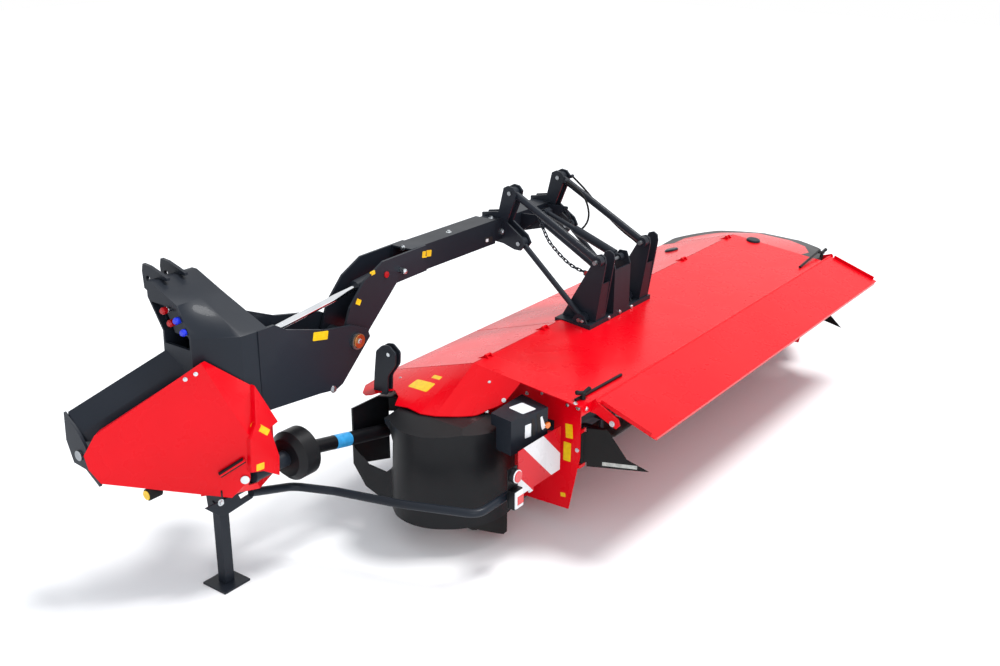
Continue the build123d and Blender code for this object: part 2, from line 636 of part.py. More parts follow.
def link_hangers():
    """Two pairs of plates welded round the inner tube, with the upper and lower link pins."""
    hanger = [
        (-425, 1600), (-560, 1625), (-600, 1790), (-630, 1806), (-672, 1800), (-700, 1770), (-690, 1720),
        (-625, 1560), (-745, 1480), (-772, 1430), (-740, 1388), (-690, 1388), (-600, 1415), (-425, 1425),
    ]
    half = INNER_SIDE / 2
    plates = []
    for x in (NEAR_LINK_X, FAR_LINK_X):
        for low_x in (x - LINK_EYE_WIDTH / 2 - MOVE_GAP - HANGER_PLATE, x + LINK_EYE_WIDTH / 2 + MOVE_GAP):
            plate = across_x(hanger, low_x, low_x + HANGER_PLATE)
            plate -= block(low_x - 1, low_x + HANGER_PLATE + 1, BOOM_Y - half, BOOM_Y + half, BOOM_Z - half, BOOM_Z + half)
            for pin in (HANGER_TOP, HANGER_LOW):
                plate -= bar_x(low_x - 1, low_x + HANGER_PLATE + 1, pin, LINK_PIN_RADIUS + RUN_GAP)
            plates.append(plate)
    tube_rear = BOOM_Y - half
    for (x, y, z), width in ((CENTRE_BAR[0], CENTRE_BAR_WIDTH), (FLOAT_CYLINDER[0], FLOAT_EYE_WIDTH)):
        lug = [(tube_rear, z + 10), (y, z + 26), (y - 22, z + 12), (y - 22, z - 16), (y + 10, z - 26), (tube_rear, z - 60)]
        for low_x in (x - width / 2 - 1 - HANGER_PLATE, x + width / 2 + 1):
            plate = across_x(lug, low_x, low_x + HANGER_PLATE)
            plates.append(plate - bar_x(low_x - 1, low_x + HANGER_PLATE + 1, (y, z), SMALL_PIN_RADIUS + RUN_GAP))
    for x, route in ((CHAIN_X, CHAIN_ROUTE), (SHORT_CHAIN_X, SHORT_CHAIN_ROUTE)):
        y, z = chain_pin(route[0], route[1])
        ear = [(tube_rear, z + 4), (y - 4, z + 12), (y - 12, z), (y - 4, z - 10), (tube_rear, BOOM_Z - half)]
        side = x + CHAIN_WIDTH / 2 + 2
        plates.append(across_x(ear, side, side + 8) + bar_x(x - CHAIN_WIDTH / 2 - 2, side + 1, (y, z), CHAIN_PIN_RADIUS))
    return joined(plates)


def chain_pin(end, neighbour):
    """The centre of the pin inside the last link at one end of a chain's route."""
    run = Vector(*neighbour) - Vector(*end)
    spot = Vector(*end) + run.normalized() * (CHAIN_PIN_RADIUS + 2 * SEAT_GAP)
    return spot.X, spot.Y


def chain(x, route):
    """Interlocked links along a route, each turned a quarter from the one before."""
    path = Spline(*[(x, y, z) for y, z in route])
    count = 2 * round((path.length / CHAIN_PITCH - 1) / 2) + 1
    half_length = path.length / count / 2 + 0.3
    rings = []
    for i in range(count):
        spot, way = path @ ((i + 0.5) / count), path % ((i + 0.5) / count)
        across = way.cross(Vector(1, 0, 0)) if i % 2 else Vector(1, 0, 0)
        a, b, c = half_length, CHAIN_WIDTH / 2 - CHAIN_WIRE, 2.5
        hole = [(a, b - c), (a - c, b), (c - a, b), (-a, b - c), (-a, c - b), (c - a, -b), (a - c, -b), (a, c - b)]
        a, b, c = a + CHAIN_WIRE, b + CHAIN_WIRE, c + CHAIN_WIRE / 2
        edge = [(a, b - c), (a - c, b), (c - a, b), (-a, b - c), (-a, c - b), (c - a, -b), (a - c, -b), (a, c - b)]
        plane = Plane(origin=spot, x_dir=way, z_dir=across)
        rings.append(extrude(plane * (outline(edge) - outline(hole)), amount=CHAIN_WIRE / 2, both=True))
    return rings


def hose(route):
    """A hose along its route, with each bend as wide as its two runs allow."""
    corners = [Vector(*spot) for spot in route]
    radii = []
    for before, corner, after in zip(corners, corners[1:], corners[2:]):
        turn = radians((corner - before).get_angle(after - corner))
        run = min((corner - before).length, (after - corner).length)
        radii.append(0.45 * run / max(0.001, sin(turn / 2) / cos(turn / 2)))
    print("hose bends", [round(radius) for radius in radii])
    path = FilletPolyline(*route, radius=radii)
    return sweep(Plane(origin=route[0], z_dir=corners[1] - corners[0]) * Circle(HOSE_RADIUS), path=path)


def suspension_hoses():
    """A hose along the far upper link into the deck and a looped one from the float cylinder to the far hanger."""
    far_plate = FAR_LINK_X + LINK_EYE_WIDTH / 2 + MOVE_GAP + HANGER_PLATE
    near_plate = FAR_LINK_X - LINK_EYE_WIDTH / 2 - MOVE_GAP - HANGER_PLATE
    x, y, z = LINK_HOSE[0]
    plug = bar_x(far_plate, x + HOSE_RADIUS + 4, (y + 4, z), 12)
    x, y, z = LOOP_HOSE[-1]
    socket = bar_x(x - HOSE_RADIUS - 4, near_plate, (y + 4, z), 12)
    x, y, z = LOOP_HOSE[0]
    port = bar_x(FLOAT_X + FLOAT_BARREL_RADIUS - 2, x + 4, (y + 2, z - 3), 10)
    return joined([hose(LINK_HOSE) + plug, hose(LOOP_HOSE) + socket + port - NODES["float_cylinder"]])


def link(x, start, end, radius, eye_width=LINK_EYE_WIDTH, eye_radius=LINK_EYE_RADIUS, pin_radius=LINK_PIN_RADIUS):
    """A tube with an eye at each end whose hole runs along X."""
    run = Vector(x, *end) - Vector(x, *start)
    step = run.normalized() * (eye_radius - 6)
    shape = bar(Vector(x, *start) + step, Vector(x, *end) - step, radius)
    for pin in (start, end):
        shape += bar_x(x - eye_width / 2, x + eye_width / 2, pin, eye_radius)
    for pin in (start, end):
        shape -= bar_x(x - eye_width, x + eye_width, pin, pin_radius + RUN_GAP)
    return shape


def link_pins():
    link_reach = LINK_EYE_WIDTH / 2 + MOVE_GAP + HANGER_PLATE + 8
    pins = [
        bar_x(x - link_reach, x + link_reach, pin, LINK_PIN_RADIUS)
        for x in (NEAR_LINK_X, FAR_LINK_X) for pin in (HANGER_TOP, HANGER_LOW, TOWER_PIN, DECK_PIN)
    ]
    for (x, *pin), width in ((CENTRE_BAR[0], CENTRE_BAR_WIDTH), (FLOAT_CYLINDER[0], FLOAT_EYE_WIDTH)):
        reach = width / 2 + HANGER_PLATE + 8
        pins.append(bar_x(x - reach, x + reach, pin, SMALL_PIN_RADIUS))
    for end in (CENTRE_BAR[1], FLOAT_CYLINDER[1]):
        pins.append(bar_x(POST_LEFT_X - 8, POST_RIGHT_X + 8, end[1:], SMALL_PIN_RADIUS))
    return joined(pins)


def build_suspension():
    link_xs = (NEAR_LINK_X, FAR_LINK_X)
    NODES["link_hangers"] = link_hangers()
    upper = [link(x, HANGER_TOP, TOWER_PIN, UPPER_LINK_RADIUS) for x in link_xs]
    lower = [link(x, HANGER_LOW, DECK_PIN, LOWER_LINK_RADIUS) for x in link_xs]
    NODES["suspension_links"] = joined(upper + lower)
    NODES["link_pins"] = link_pins()
    x, *start = CENTRE_BAR[0]
    NODES["centre_bar"] = link(x, start, CENTRE_BAR[1][1:], 22, CENTRE_BAR_WIDTH, 26, SMALL_PIN_RADIUS)
    x, *start = FLOAT_CYLINDER[0]
    end = FLOAT_CYLINDER[1][1:]
    rod = link(x, start, end, 18, FLOAT_EYE_WIDTH, 24, SMALL_PIN_RADIUS)
    first, last = Vector(x, *start), Vector(x, *end)
    NODES["float_cylinder"] = rod + bar(first + (last - first) * 0.4, last - (last - first).normalized() * 40, FLOAT_BARREL_RADIUS)
    NODES["link_towers"] = link_towers()
    NODES["stay_chains"] = joined(chain(CHAIN_X, CHAIN_ROUTE) + chain(SHORT_CHAIN_X, SHORT_CHAIN_ROUTE))
    NODES["suspension_hoses"] = suspension_hoses()


def hood_z(y):
    """Height of the hood's upper face at y: it falls both ways from the crease."""
    if y > CREASE_Y:
        return CREASE_Z + (FRONT_Z - CREASE_Z) * (y - CREASE_Y) / (FRONT_Y - CREASE_Y)
    return CREASE_Z + (HOOD_REAR_Z - CREASE_Z) * (y - CREASE_Y) / (HOOD_REAR_Y - CREASE_Y)


def link_towers():
    """Three upright plates on the deck: two towers for the upper links and a post between them."""
    tower = [(-1035, TOWER_FOOT_Z), (-1290, TOWER_FOOT_Z), (-1352, 1395), (-1345, 1435), (-1315, 1452), (-1280, 1440), (-1262, 1400)]
    lug = [(-1150, TOWER_FOOT_Z), (-1265, TOWER_FOOT_Z), (-1240, 1040), (-1209, 1050), (-1175, 1035)]
    pieces = [across_x([(y, hood_z(y)) for y in (-1030, CREASE_Y, -1300)] + [(-1300, TOWER_FOOT_Z), (-1030, TOWER_FOOT_Z)], NEAR_LINK_X - 55, FAR_LINK_X + 162)]
    gap = LINK_EYE_WIDTH / 2 + MOVE_GAP
    for x in (NEAR_LINK_X, FAR_LINK_X):
        for low_x in (x - gap - TOWER_PLATE, x + gap):
            pieces.append(across_x(lug, low_x, low_x + TOWER_PLATE))
        pieces.append(across_x(tower, x + gap, x + gap + TOWER_PLATE))
        pieces.append(across_x(tower, x + gap + 105, x + gap + 105 + TOWER_PLATE))
        pieces.append(across_x([(-1281, TOWER_FOOT_Z), (-1290, TOWER_FOOT_Z), (-1325, 1250), (-1316, 1250)], x + gap, x + gap + 110))
    cheek = [(-1185, TOWER_FOOT_Z), (-1300, TOWER_FOOT_Z), (-1300, 1300), (-1270, 1372), (-1215, 1372), (-1185, 1330)]
    for low_x in (POST_LEFT_X, POST_RIGHT_X - TOWER_PLATE):
        pieces.append(across_x(cheek, low_x, low_x + TOWER_PLATE))
    pieces.append(block(POST_LEFT_X, POST_RIGHT_X, -1300, -1300 + TOWER_PLATE, TOWER_FOOT_Z, 1290))
    y, z = chain_pin(CHAIN_ROUTE[-1], CHAIN_ROUTE[-2])
    plate_x = NEAR_LINK_X + gap + 105
    pieces.append(across_x([(y - 60, z - 8), (y + 10, z - 12), (y + 12, z + 10), (y - 60, z + 16)], plate_x, plate_x + TOWER_PLATE))
    pieces.append(bar_x(plate_x, CHAIN_X + CHAIN_WIDTH / 2 + 2, (y, z), CHAIN_PIN_RADIUS))
    towers = joined(pieces)
    windows = ([(-1190, 1022), (-1272, 1022), (-1262, 1105)], [(-1222, 1110), (-1280, 1140), (-1288, 1235)])
    for x in (NEAR_LINK_X, FAR_LINK_X):
        for window in windows:
            towers -= across_x(window, x + gap + 104, x + gap + 106 + TOWER_PLATE)
        towers -= bar_x(x - gap, x + gap, DECK_PIN, LINK_EYE_RADIUS + MOVE_GAP)
        for pin in (TOWER_PIN, DECK_PIN):
            towers -= bar_x(x - 60, x + 60, pin, LINK_PIN_RADIUS + RUN_GAP)
    for end in (CENTRE_BAR[1], FLOAT_CYLINDER[1]):
        towers -= bar_x(POST_LEFT_X - 1, POST_RIGHT_X + 1, end[1:], SMALL_PIN_RADIUS + RUN_GAP)
    return towers


def build_boom():
    NODES["boom_arm"] = boom_arm() + boom_sleeve()
    NODES["boom_inner_tube"] = inner_tube()
    build_suspension()


def lift_points():
    """Pin and eye of the lift cylinder, and the direction from one to the other."""
    pin = Vector(LIFT_PIN_X, BOOM_Y, LIFT_PIN_Z)
    eye = Vector(LIFT_EYE_X, BOOM_Y, LIFT_EYE_Z)
    return pin, eye, (eye - pin).normalized()


def build_lift_cylinder():
    pin, eye, way = lift_points()
    front = pin + way * LIFT_BARREL_FRONT
    rear = pin - way * LIFT_BARREL_REAR
    barrel = bar(rear, front, LIFT_BARREL_RADIUS)
    barrel += bar_y(ARM_REAR - 8, ARM_FRONT + 8, (LIFT_PIN_X, LIFT_PIN_Z), LIFT_PIN_RADIUS)
    barrel -= bar(rear + way * 12, front + way, LIFT_ROD_RADIUS + RUN_GAP)
    NODES["lift_barrel"] = barrel
    rod = bar(front - way * 30, eye, LIFT_ROD_RADIUS)
    rod += bar_y(BOOM_Y - LIFT_EYE_WIDTH / 2, BOOM_Y + LIFT_EYE_WIDTH / 2, (LIFT_EYE_X, LIFT_EYE_Z), LIFT_EYE_RADIUS)
    rod -= bar_y(BOOM_Y - LIFT_EYE_WIDTH, BOOM_Y + LIFT_EYE_WIDTH, (LIFT_EYE_X, LIFT_EYE_Z), 18)
    NODES["lift_rod"] = rod


def driveline_yoke(start, way):
    """The two ears that turn on the cross of the gearbox's output."""
    side = Vector(-way.Z, 0, way.X) * YOKE_RADIUS
    corners = [start + side, start - side, start + way * (YOKE_LENGTH + 1) - side * 1.3, start + way * (YOKE_LENGTH + 1) + side * 1.3]
    ears = []
    for low_y in (DRIVE_Y - KNUCKLE / 2 - 1 - YOKE_PLATE, DRIVE_Y + KNUCKLE / 2 + 1):
        ear = across_y([(corner.X, corner.Z) for corner in corners], low_y, low_y + YOKE_PLATE)
        ear += bar_y(low_y, low_y + YOKE_PLATE, (start.X, start.Z), YOKE_RADIUS)
        ears.append(ear - bar_y(low_y - 1, low_y + YOKE_PLATE + 1, (start.X, start.Z), CROSS_RADIUS + RUN_GAP))
    return ears


def build_driveline():
    start = Vector(DRIVE_IN_X, DRIVE_Y, DRIVE_IN_Z)
    end = Vector(DRIVE_OUT_X, DRIVE_Y, DRIVE_OUT_Z)
    way = (end - start).normalized()
    inner = bar(start + way * YOKE_LENGTH, end - way * 90, DRIVE_INNER_RADIUS)
    inner += bar(start + way * YOKE_LENGTH, start + way * (YOKE_LENGTH + 17), DRIVE_TUBE_RADIUS + 8)
    NODES["driveline_inner_half"] = joined([inner] + driveline_yoke(start, way))
    outer = pipe(start + way * 75, end - way * 60, DRIVE_TUBE_RADIUS, DRIVE_INNER_RADIUS + RUN_GAP)
    outer += bar(end - way * 85, end - way * 60, DRIVE_TUBE_RADIUS) + bar(end - way * 60, end, 26)
    NODES["driveline_outer_half"] = outer


def hood_sheet(y_points, x_low, x_high):
    """A bent sheet under the hood line, whose upper face passes through hood_z at each y."""
    upper = [(y, hood_z(y)) for y in y_points]
    lower = [(y, hood_z(y) - SHEET) for y in reversed(y_points)]
    return across_x(upper + lower, x_low, x_high)


def front_strip(x_low, x_high, hinges):
    """A hinged guard over the cutterbar, with a knuckle and its tab at each hinge."""
    rear_y = CREASE_Y + PANEL_GAP
    strip = hood_sheet([FRONT_Y, rear_y], x_low, x_high)
    strip += block(x_low, x_high, FRONT_Y - SHEET, FRONT_Y, FRONT_Z - FRONT_LIP, FRONT_Z)
    tab = [
        (HINGE_Y, HINGE_Z + 3), (rear_y + 60, hood_z(rear_y + 60) - 1), (rear_y + 1, hood_z(rear_y + 1) - 1),
        (rear_y, HINGE_Z - 3), (HINGE_Y, HINGE_Z - 3),
    ]
    for x in hinges:
        strip += across_x(tab, x - HINGE_WIDTH / 2, x + HINGE_WIDTH / 2)
        strip += bar_x(x - HINGE_WIDTH / 2, x + HINGE_WIDTH / 2, (HINGE_Y, HINGE_Z), HINGE_RADIUS)
        strip -= bar_x(x - HINGE_WIDTH, x + HINGE_WIDTH, (HINGE_Y, HINGE_Z), HINGE_PIN_RADIUS + RUN_GAP)
    return strip


def guard_hinge(x):
    """Two ears on the fixed hood with the pin that a guard's knuckle turns on."""
    reach = HINGE_WIDTH / 2 + 1
    ear = [
        (HINGE_Y - 30, hood_z(HINGE_Y - 30) - 1), (HINGE_Y - 12, HINGE_Z + 8), (HINGE_Y, HINGE_Z + 9),
        (HINGE_Y + 8, HINGE_Z + 4), (HINGE_Y + 8, HINGE_Z - 4), (HINGE_Y - 1, hood_z(HINGE_Y - 1) - 1),
    ]
    ears = [across_x(ear, low_x, low_x + 6) for low_x in (x - reach - 6, x + reach)]
    return joined(ears + [bar_x(x - reach - 2, x + reach + 2, (HINGE_Y, HINGE_Z), HINGE_PIN_RADIUS)])


def curtain(x_low, x_high):
    low_y = FRONT_Y - SHEET - SEAT_GAP - CURTAIN
    return block(x_low + 4, x_high - 4, low_y, low_y + CURTAIN, CURTAIN_LOW_Z, FRONT_Z - SHEET - 8)


def hood_top():
    sheet = hood_sheet([CREASE_Y - 0, HOOD_REAR_Y], HOOD_IN_X, HOOD_OUT_X)
    sheet += hood_sheet([FRONT_Y, CREASE_Y], CENTRE_IN_X, CENTRE_OUT_X)
    sheet += block(CENTRE_IN_X, CENTRE_OUT_X, FRONT_Y - SHEET, FRONT_Y, FRONT_Z - FRONT_LIP, FRONT_Z)
    sheet += block(HOOD_IN_X, HOOD_OUT_X, HOOD_REAR_Y, HOOD_REAR_Y + SHEET, HOOD_REAR_Z - 60, HOOD_REAR_Z - 1)
    return joined([sheet] + [guard_hinge(x) for x in INNER_HINGES + OUTER_HINGES])


INNER_PLAN = [
    (HOOD_IN_X - SEAT_GAP, -432), (1130, -452), (1030, -520), (NOSE_X + 12, -560), (1030, -592), (1100, -635), (1120, -700),
    (1070, -770), (995, -808), (1005, -896), (997, -996), (1022, -1087), (1070, -1162), (1142, -1247), (1238, -1307),
    (1300, -1370), (HOOD_IN_X - SEAT_GAP, -1420),
]
INNER_END_X = NOSE_X - 15
INNER_RISE = [
    (FRONT_Y, FRONT_Y, 765), (-560, -560, 775), (-808, -808, 783), (-900, -900, 783), (-996, -996, 777),
    (CREASE_Y, -1087, 763), (-1162, -1162, 733), (-1247, -1247, 670), (-1420, -1307, 430),
]


def inner_hood():
    """The red piece over the deck's inner end: a dome that falls to the drum cover, hollowed over the driveline."""
    sections = []
    for x, column in ((INNER_END_X, 1), (HOOD_IN_X - SEAT_GAP, 0)):
        upper = [(row[column], row[2] if column else hood_z(row[0])) for row in INNER_RISE]
        lower = [(y, z - SHEET) for y, z in reversed(upper)]
        sections.append(plane_yz(x) * outline(upper + lower))
    sheet = loft(sections, ruled=True)
    return sheet & across_z(INNER_PLAN, 300, 1100)


OUTER_PLAN = [
    (HOOD_OUT_X - 300, FRONT_Y), (5080, FRONT_Y), (5400, -700), (RIM_END_X, -1050), (RIM_END_X, -1400),
    (5330, -1640), (5060, -1790), (HOOD_OUT_X - 300, -1790),
]
OUTER_ROUNDING = 90


def outer_plan(inset=0):
    face = outline(OUTER_PLAN)
    if inset:
        face = offset(face, amount=-inset, kind=Kind.INTERSECTION)
    return fillet(face.vertices(), max(OUTER_ROUNDING - inset, 15))


def outer_form(inset, drop):
    """The closed form under the hood's outer end, narrowed by inset and lowered by drop."""
    sections = []
    for x, falls in ((HOOD_OUT_X - 400, (0, 0, 0)), (HOOD_OUT_X + SEAT_GAP, (0, 0, 0)), (RIM_END_X + 10, (-30, 135, 75))):
        tops = [(y, hood_z(y) - fall - drop) for y, fall in zip((FRONT_Y, CREASE_Y, HOOD_REAR_Y), falls)]
        sections.append(plane_yz(x) * outline(tops + [(HOOD_REAR_Y, 200), (FRONT_Y, 200)]))
    under = loft(sections[:2], ruled=True) + loft(sections[1:], ruled=True)
    return under & raised(outer_plan(inset), RIM_LOW_Z - (1 if inset else 0), 1100)


def outer_end():
    """The red outer end of the hood and the black moulded rim round it."""
    shell = outer_form(0, 0) - outer_form(SHEET, SHEET)
    shell -= block(HOOD_OUT_X - 500, HOOD_OUT_X + SEAT_GAP, -2000, 0, 0, 1200)
    shell -= block(HOOD_OUT_X - 500, SIDE_OUT_X + 60, -2000, -1600, 0, 800)
    middle = raised(outer_plan(RIM_WIDTH), RIM_LOW_Z - 2, 1100)
    wider = raised(outer_plan(RIM_WIDTH - SEAT_GAP), RIM_LOW_Z - 2, 1100)
    return shell & middle, shell - wider


def drum_plan(inset=0):
    """The drum cover seen from above: straight beside the driveline, then bulged round to the rear."""
    start, throat, turn, end = (868, DRUM_FRONT_Y), (866, -880), (860, -1262), (1272, DRUM_REAR_Y)
    rear_right, front_right = (DRUM_END_X, DRUM_REAR_Y + 2), (DRUM_END_X, DRUM_FRONT_Y)
    edges = [
        Line(start, throat), ThreePointArc(throat, (798, -1060), turn), ThreePointArc(turn, (1010, -1402), end),
        Line(end, rear_right), Line(rear_right, front_right), Line(front_right, start),
    ]
    face = make_face(edges)
    return offset(face, amount=-inset) if inset else face


def drum_form(inset, drop):
    """The closed form of the drum cover, whose top falls to its left, rear and front edges."""
    low, top = DRUM_LOW_Z - (1 if inset else 0), DRUM_TOP_Z - drop
    edge = DRUM_EDGE_Z - drop
    body = raised(drum_plan(inset), low, top)
    body &= across_y([(700, low), (1400, low), (1400, top), (1000, top), (790, edge), (700, edge - 12)], -1700, -400)
    fall = [(DRUM_REAR_Y - 150, low), (-400, low), (-400, edge - 22), (DRUM_FRONT_Y, edge), (-690, top)]
    fall += [(DRUM_REAR_Y + 135, top), (DRUM_REAR_Y, edge), (DRUM_REAR_Y - 150, edge - 25)]
    return body & across_x(fall, 600, 1500)


def drum_cover():
    """The black moulded cover round the inner gearbox, open below and notched for the driveline."""
    cover = drum_form(0, 0) - drum_form(DRUM_WALL, DRUM_WALL)
    cover -= block(1250, DRUM_END_X + 10, DRUM_REAR_Y + 14, -500, 60, 900)
    cover -= block(868 + DRUM_WALL + SEAT_GAP, DRUM_END_X + 10, DRUM_FRONT_Y - DRUM_WALL - 1, -500, 60, SHIELD_TOP_Z + SEAT_GAP)
    cover -= across_x(SHAFT_NOTCH, 700, 1090)
    low_edge = [(-400, 90), (-400, 387), (DRUM_FRONT_Y, 387), (-672, 265), (-940, 178), (-1700, 178), (-1700, 90)]
    return cover - across_x(low_edge, 600, 1500)


def inner_shield():
    """The black wall ahead of the driveline's end; the drum cover closes its other sides."""
    left_x = 868 + DRUM_WALL + 2 * SEAT_GAP
    wall = [(left_x, DRUM_FRONT_Y - SEAT_GAP), (1180, -584), (1285, -711), (1293, -721), (1180, -592), (left_x, DRUM_FRONT_Y - DRUM_WALL)]
    shield = across_z(wall, 250, SHIELD_TOP_Z)
    shield -= block(1180, 1400, -800, -560, 240, GEARBOX_DECK_TOP_Z + SEAT_GAP)
    return shield - across_y([(860, 240), (860, 387), (1180, 300), (1400, 300), (1400, 240)], -800, -500)


def rubber_apron():
    """The hanging rubber skirt inside the drum cover's wall."""
    ring = drum_plan(DRUM_WALL + SEAT_GAP) - drum_plan(DRUM_WALL + SEAT_GAP + APRON)
    skirt = raised(ring, APRON_LOW_Z, APRON_HIGH_Z)
    skirt -= block(1250, 1400, -1500, -500, 0, 600)
    return skirt - block(700, 1400, -930, -400, 0, 600)


def belt_cover():
    """The angular box over the conditioner's belt drive, open below, its front reaching over the drum cover."""
    plan = outline([(1128, -1408), (1100, -1568), (1388, -1619), (1449, -1394)])
    cover = raised(plan, BELT_LOW_Z, BELT_TOP_Z) - raised(offset(plan, amount=-4), BELT_LOW_Z - 1, BELT_TOP_Z - 4)
    cover -= block(1000, 1500, DRUM_REAR_Y - MOVE_GAP, -1300, BELT_LOW_Z - 1, DRUM_TOP_Z + MOVE_GAP)
    seat_x = SIDE_IN_X - SEAT_GAP
    return cover + block(1404, seat_x, -1545, -1505, BELT_LOW_Z, 652) + block(seat_x - 4, seat_x, -1560, -1490, BELT_LOW_Z - 20, 690)


def side_plate(x, top_drop):
    rear_y, front_y = -1740, -1075
    shape = [
        (front_y, hood_z(front_y) - SHEET - top_drop), (CREASE_Y, hood_z(CREASE_Y) - SHEET - top_drop),
        (rear_y, hood_z(rear_y) - SHEET - top_drop), (-1742, 500), (-1672, 140), (-1370, 130), (-1100, 20),
        (BAR_REAR_Y, 20), (BAR_REAR_Y, BAR_TOP_Z), (-1063, BAR_TOP_Z), (front_y, 250),
    ]
    plate = across_x(shape, x, x + SIDE_PLATE)
    return plate - bar_x(x - 1, x + SIDE_PLATE + 1, (ROTOR_Y, ROTOR_Z), ROTOR_SHAFT_RADIUS + RUN_GAP)


def deck_beam():
    """The square tube under the hood's crease, with a lower end past the hood's outer seam."""
    front_y, rear_y, low_z, wall = -1100, -1230, 830, 8
    profile = [(front_y, low_z), (rear_y, low_z), (rear_y, hood_z(rear_y) - SHEET), (front_y, hood_z(front_y) - SHEET)]
    hollow = [(front_y - wall, low_z + wall), (rear_y + wall, low_z + wall)]
    hollow += [(rear_y + wall, hood_z(rear_y) - SHEET - wall), (front_y - wall, hood_z(front_y) - SHEET - wall)]
    start_x, end_x = HOOD_IN_X + 5, HOOD_OUT_X
    end = block(end_x, SIDE_OUT_X, rear_y, front_y, low_z, 900)
    end -= block(end_x - 1, SIDE_OUT_X + 1, rear_y + wall, front_y - wall, low_z + wall, 900 - wall)
    form = across_x(profile, start_x, end_x)
    return form + end - across_x(hollow, start_x - 1, end_x + 1), form


def deck_gearbox():
    """The gearbox over the first disc with its input neck towards the driveline, hung from the side plate."""
    box = block(1215, 1390, -900, -600, 420, GEARBOX_DECK_TOP_Z)
    box += bar_x(DRIVE_OUT_X + 36, 1215, (DRIVE_Y, DRIVE_OUT_Z), 30)
    box += bar((FIRST_DISC_X, DISC_Y, DISC_DRUM_TOP_Z + SEAT_GAP), (FIRST_DISC_X, DISC_Y, 420), 60)
    box += block(1300, 1380, -1080, -900, 440, 600)
    box += block(1300, SIDE_IN_X, -1150, -1080, 440, 600)
    box += block(1150, 1300, -1060, -1000, 588, 600)
    box += block(1150, 1158, -1060, -1000, 600, DRUM_TOP_Z - DRUM_WALL - SEAT_GAP)
    return box


def cutterbar():
    """The flat gear case, its hub seats and the skids under it."""
    profile = [
        (BAR_FRONT_Y, 30), (BAR_FRONT_Y - 30, BAR_LOW_Z), (BAR_REAR_Y, BAR_LOW_Z),
        (BAR_REAR_Y, BAR_TOP_Z), (BAR_FRONT_Y - 50, BAR_TOP_Z), (BAR_FRONT_Y, 48),
    ]
    case = outline(profile)
    inner = offset(case, amount=-BAR_WALL)
    hollow = extrude(plane_yz(BAR_IN_X + BAR_WALL) * inner, amount=BAR_OUT_X - BAR_IN_X - 2 * BAR_WALL, dir=(1, 0, 0))
    return across_x(profile, BAR_IN_X, BAR_OUT_X) - hollow


def skids():
    profile = [
        (BAR_FRONT_Y + 22, 50), (BAR_FRONT_Y + 12, 22), (BAR_FRONT_Y - 25, 0), (SKID_REAR_Y + 30, 0), (SKID_REAR_Y, 12),
        (SKID_REAR_Y, 20), (SKID_REAR_Y + 35, BAR_LOW_Z), (BAR_FRONT_Y - 30, BAR_LOW_Z), (BAR_FRONT_Y, 30),
        (BAR_FRONT_Y, 48),
    ]
    shoes = []
    for i in range(DISC_COUNT):
        x = FIRST_DISC_X + i * DISC_PITCH
        shoes.append(across_x(profile, x - SKID_WIDTH / 2, x + SKID_WIDTH / 2))
    return joined(shoes)


def disc(index):
    """A domed oval disc with two blades, turned a quarter from its neighbour; the end ones carry a drum."""
    hub_z = BAR_TOP_Z + SEAT_GAP
    disc_z = BAR_TOP_Z + 14
    upright = (Align.CENTER, Align.CENTER, Align.MIN)
    shape = Pos(0, 0, hub_z) * Cylinder(62, disc_z - hub_z + 4, align=upright)
    low = Plane.XY.offset(disc_z) * RectangleRounded(2 * DISC_LONG, 2 * DISC_SHORT, DISC_SHORT - 12)
    high = Plane.XY.offset(disc_z + 26) * RectangleRounded(1.1 * DISC_LONG, 1.24 * DISC_SHORT, 0.55 * DISC_SHORT)
    shape += loft([low, high], ruled=True)
    for side in (-1, 1):
        low_x, high_x = sorted((side * 125, side * BLADE_REACH))
        shape += block(low_x, high_x, -BLADE_WIDTH / 2, BLADE_WIDTH / 2, disc_z - BLADE, disc_z)
    if index in (0, DISC_COUNT - 1):
        base_z = disc_z + 20
        shape += Pos(0, 0, base_z) * Cone(98, 80, DISC_DRUM_TOP_Z - base_z, align=upright)
        shape -= Pos(0, 0, disc_z + 26) * Cone(92, 74, DISC_DRUM_TOP_Z - 32 - disc_z, align=upright)
        shape -= Pos(0, 0, DISC_DRUM_TOP_Z - 10) * Cylinder(30, 30)
    return Pos(FIRST_DISC_X + index * DISC_PITCH, DISC_Y, 0) * Rot(0, 0, 90 * (index % 2)) * shape


def conditioner_rotor():
    """The conditioner's tube with its rows of tines, its pierced end discs and its shaft ends."""
    low_x, high_x = SIDE_IN_X + SIDE_PLATE + 40, SIDE_OUT_X - 40
    axis = (ROTOR_Y, ROTOR_Z)
    inner_radius = ROTOR_TUBE_RADIUS - ROTOR_WALL
    rotor = bar_x(low_x, high_x, axis, ROTOR_TUBE_RADIUS) - bar_x(low_x + 12, high_x - 12, axis, inner_radius)
    for ends in ((SIDE_IN_X - 12, low_x + 12), (high_x - 12, SIDE_OUT_X + SIDE_PLATE + 12)):
        rotor += bar_x(*ends, axis, ROTOR_SHAFT_RADIUS)
    for angle in (0, 90, 180, 270):
        y, z = ROTOR_Y + 58 * cos(radians(angle)), ROTOR_Z + 58 * sin(radians(angle))
        rotor -= bar_x(low_x - 1, high_x + 1, (y, z), 18)
    tines = []
    pitch = (high_x - low_x) / TINES_PER_ROW
    root = ROTOR_TUBE_RADIUS - ROTOR_WALL / 2
    for row in range(TINE_ROWS):
        for i in range(TINES_PER_ROW):
            x = low_x + (i + 0.25 + 0.5 * (row % 2)) * pitch
            tine = Pos(0, 0, root) * Box(38, 10, ROTOR_TINE_REACH - root, align=(Align.CENTER, Align.CENTER, Align.MIN))
            tines.append(Pos(x, ROTOR_Y, ROTOR_Z) * Rot(row * 360 / TINE_ROWS, 0, 0) * tine)
    return rotor + tines


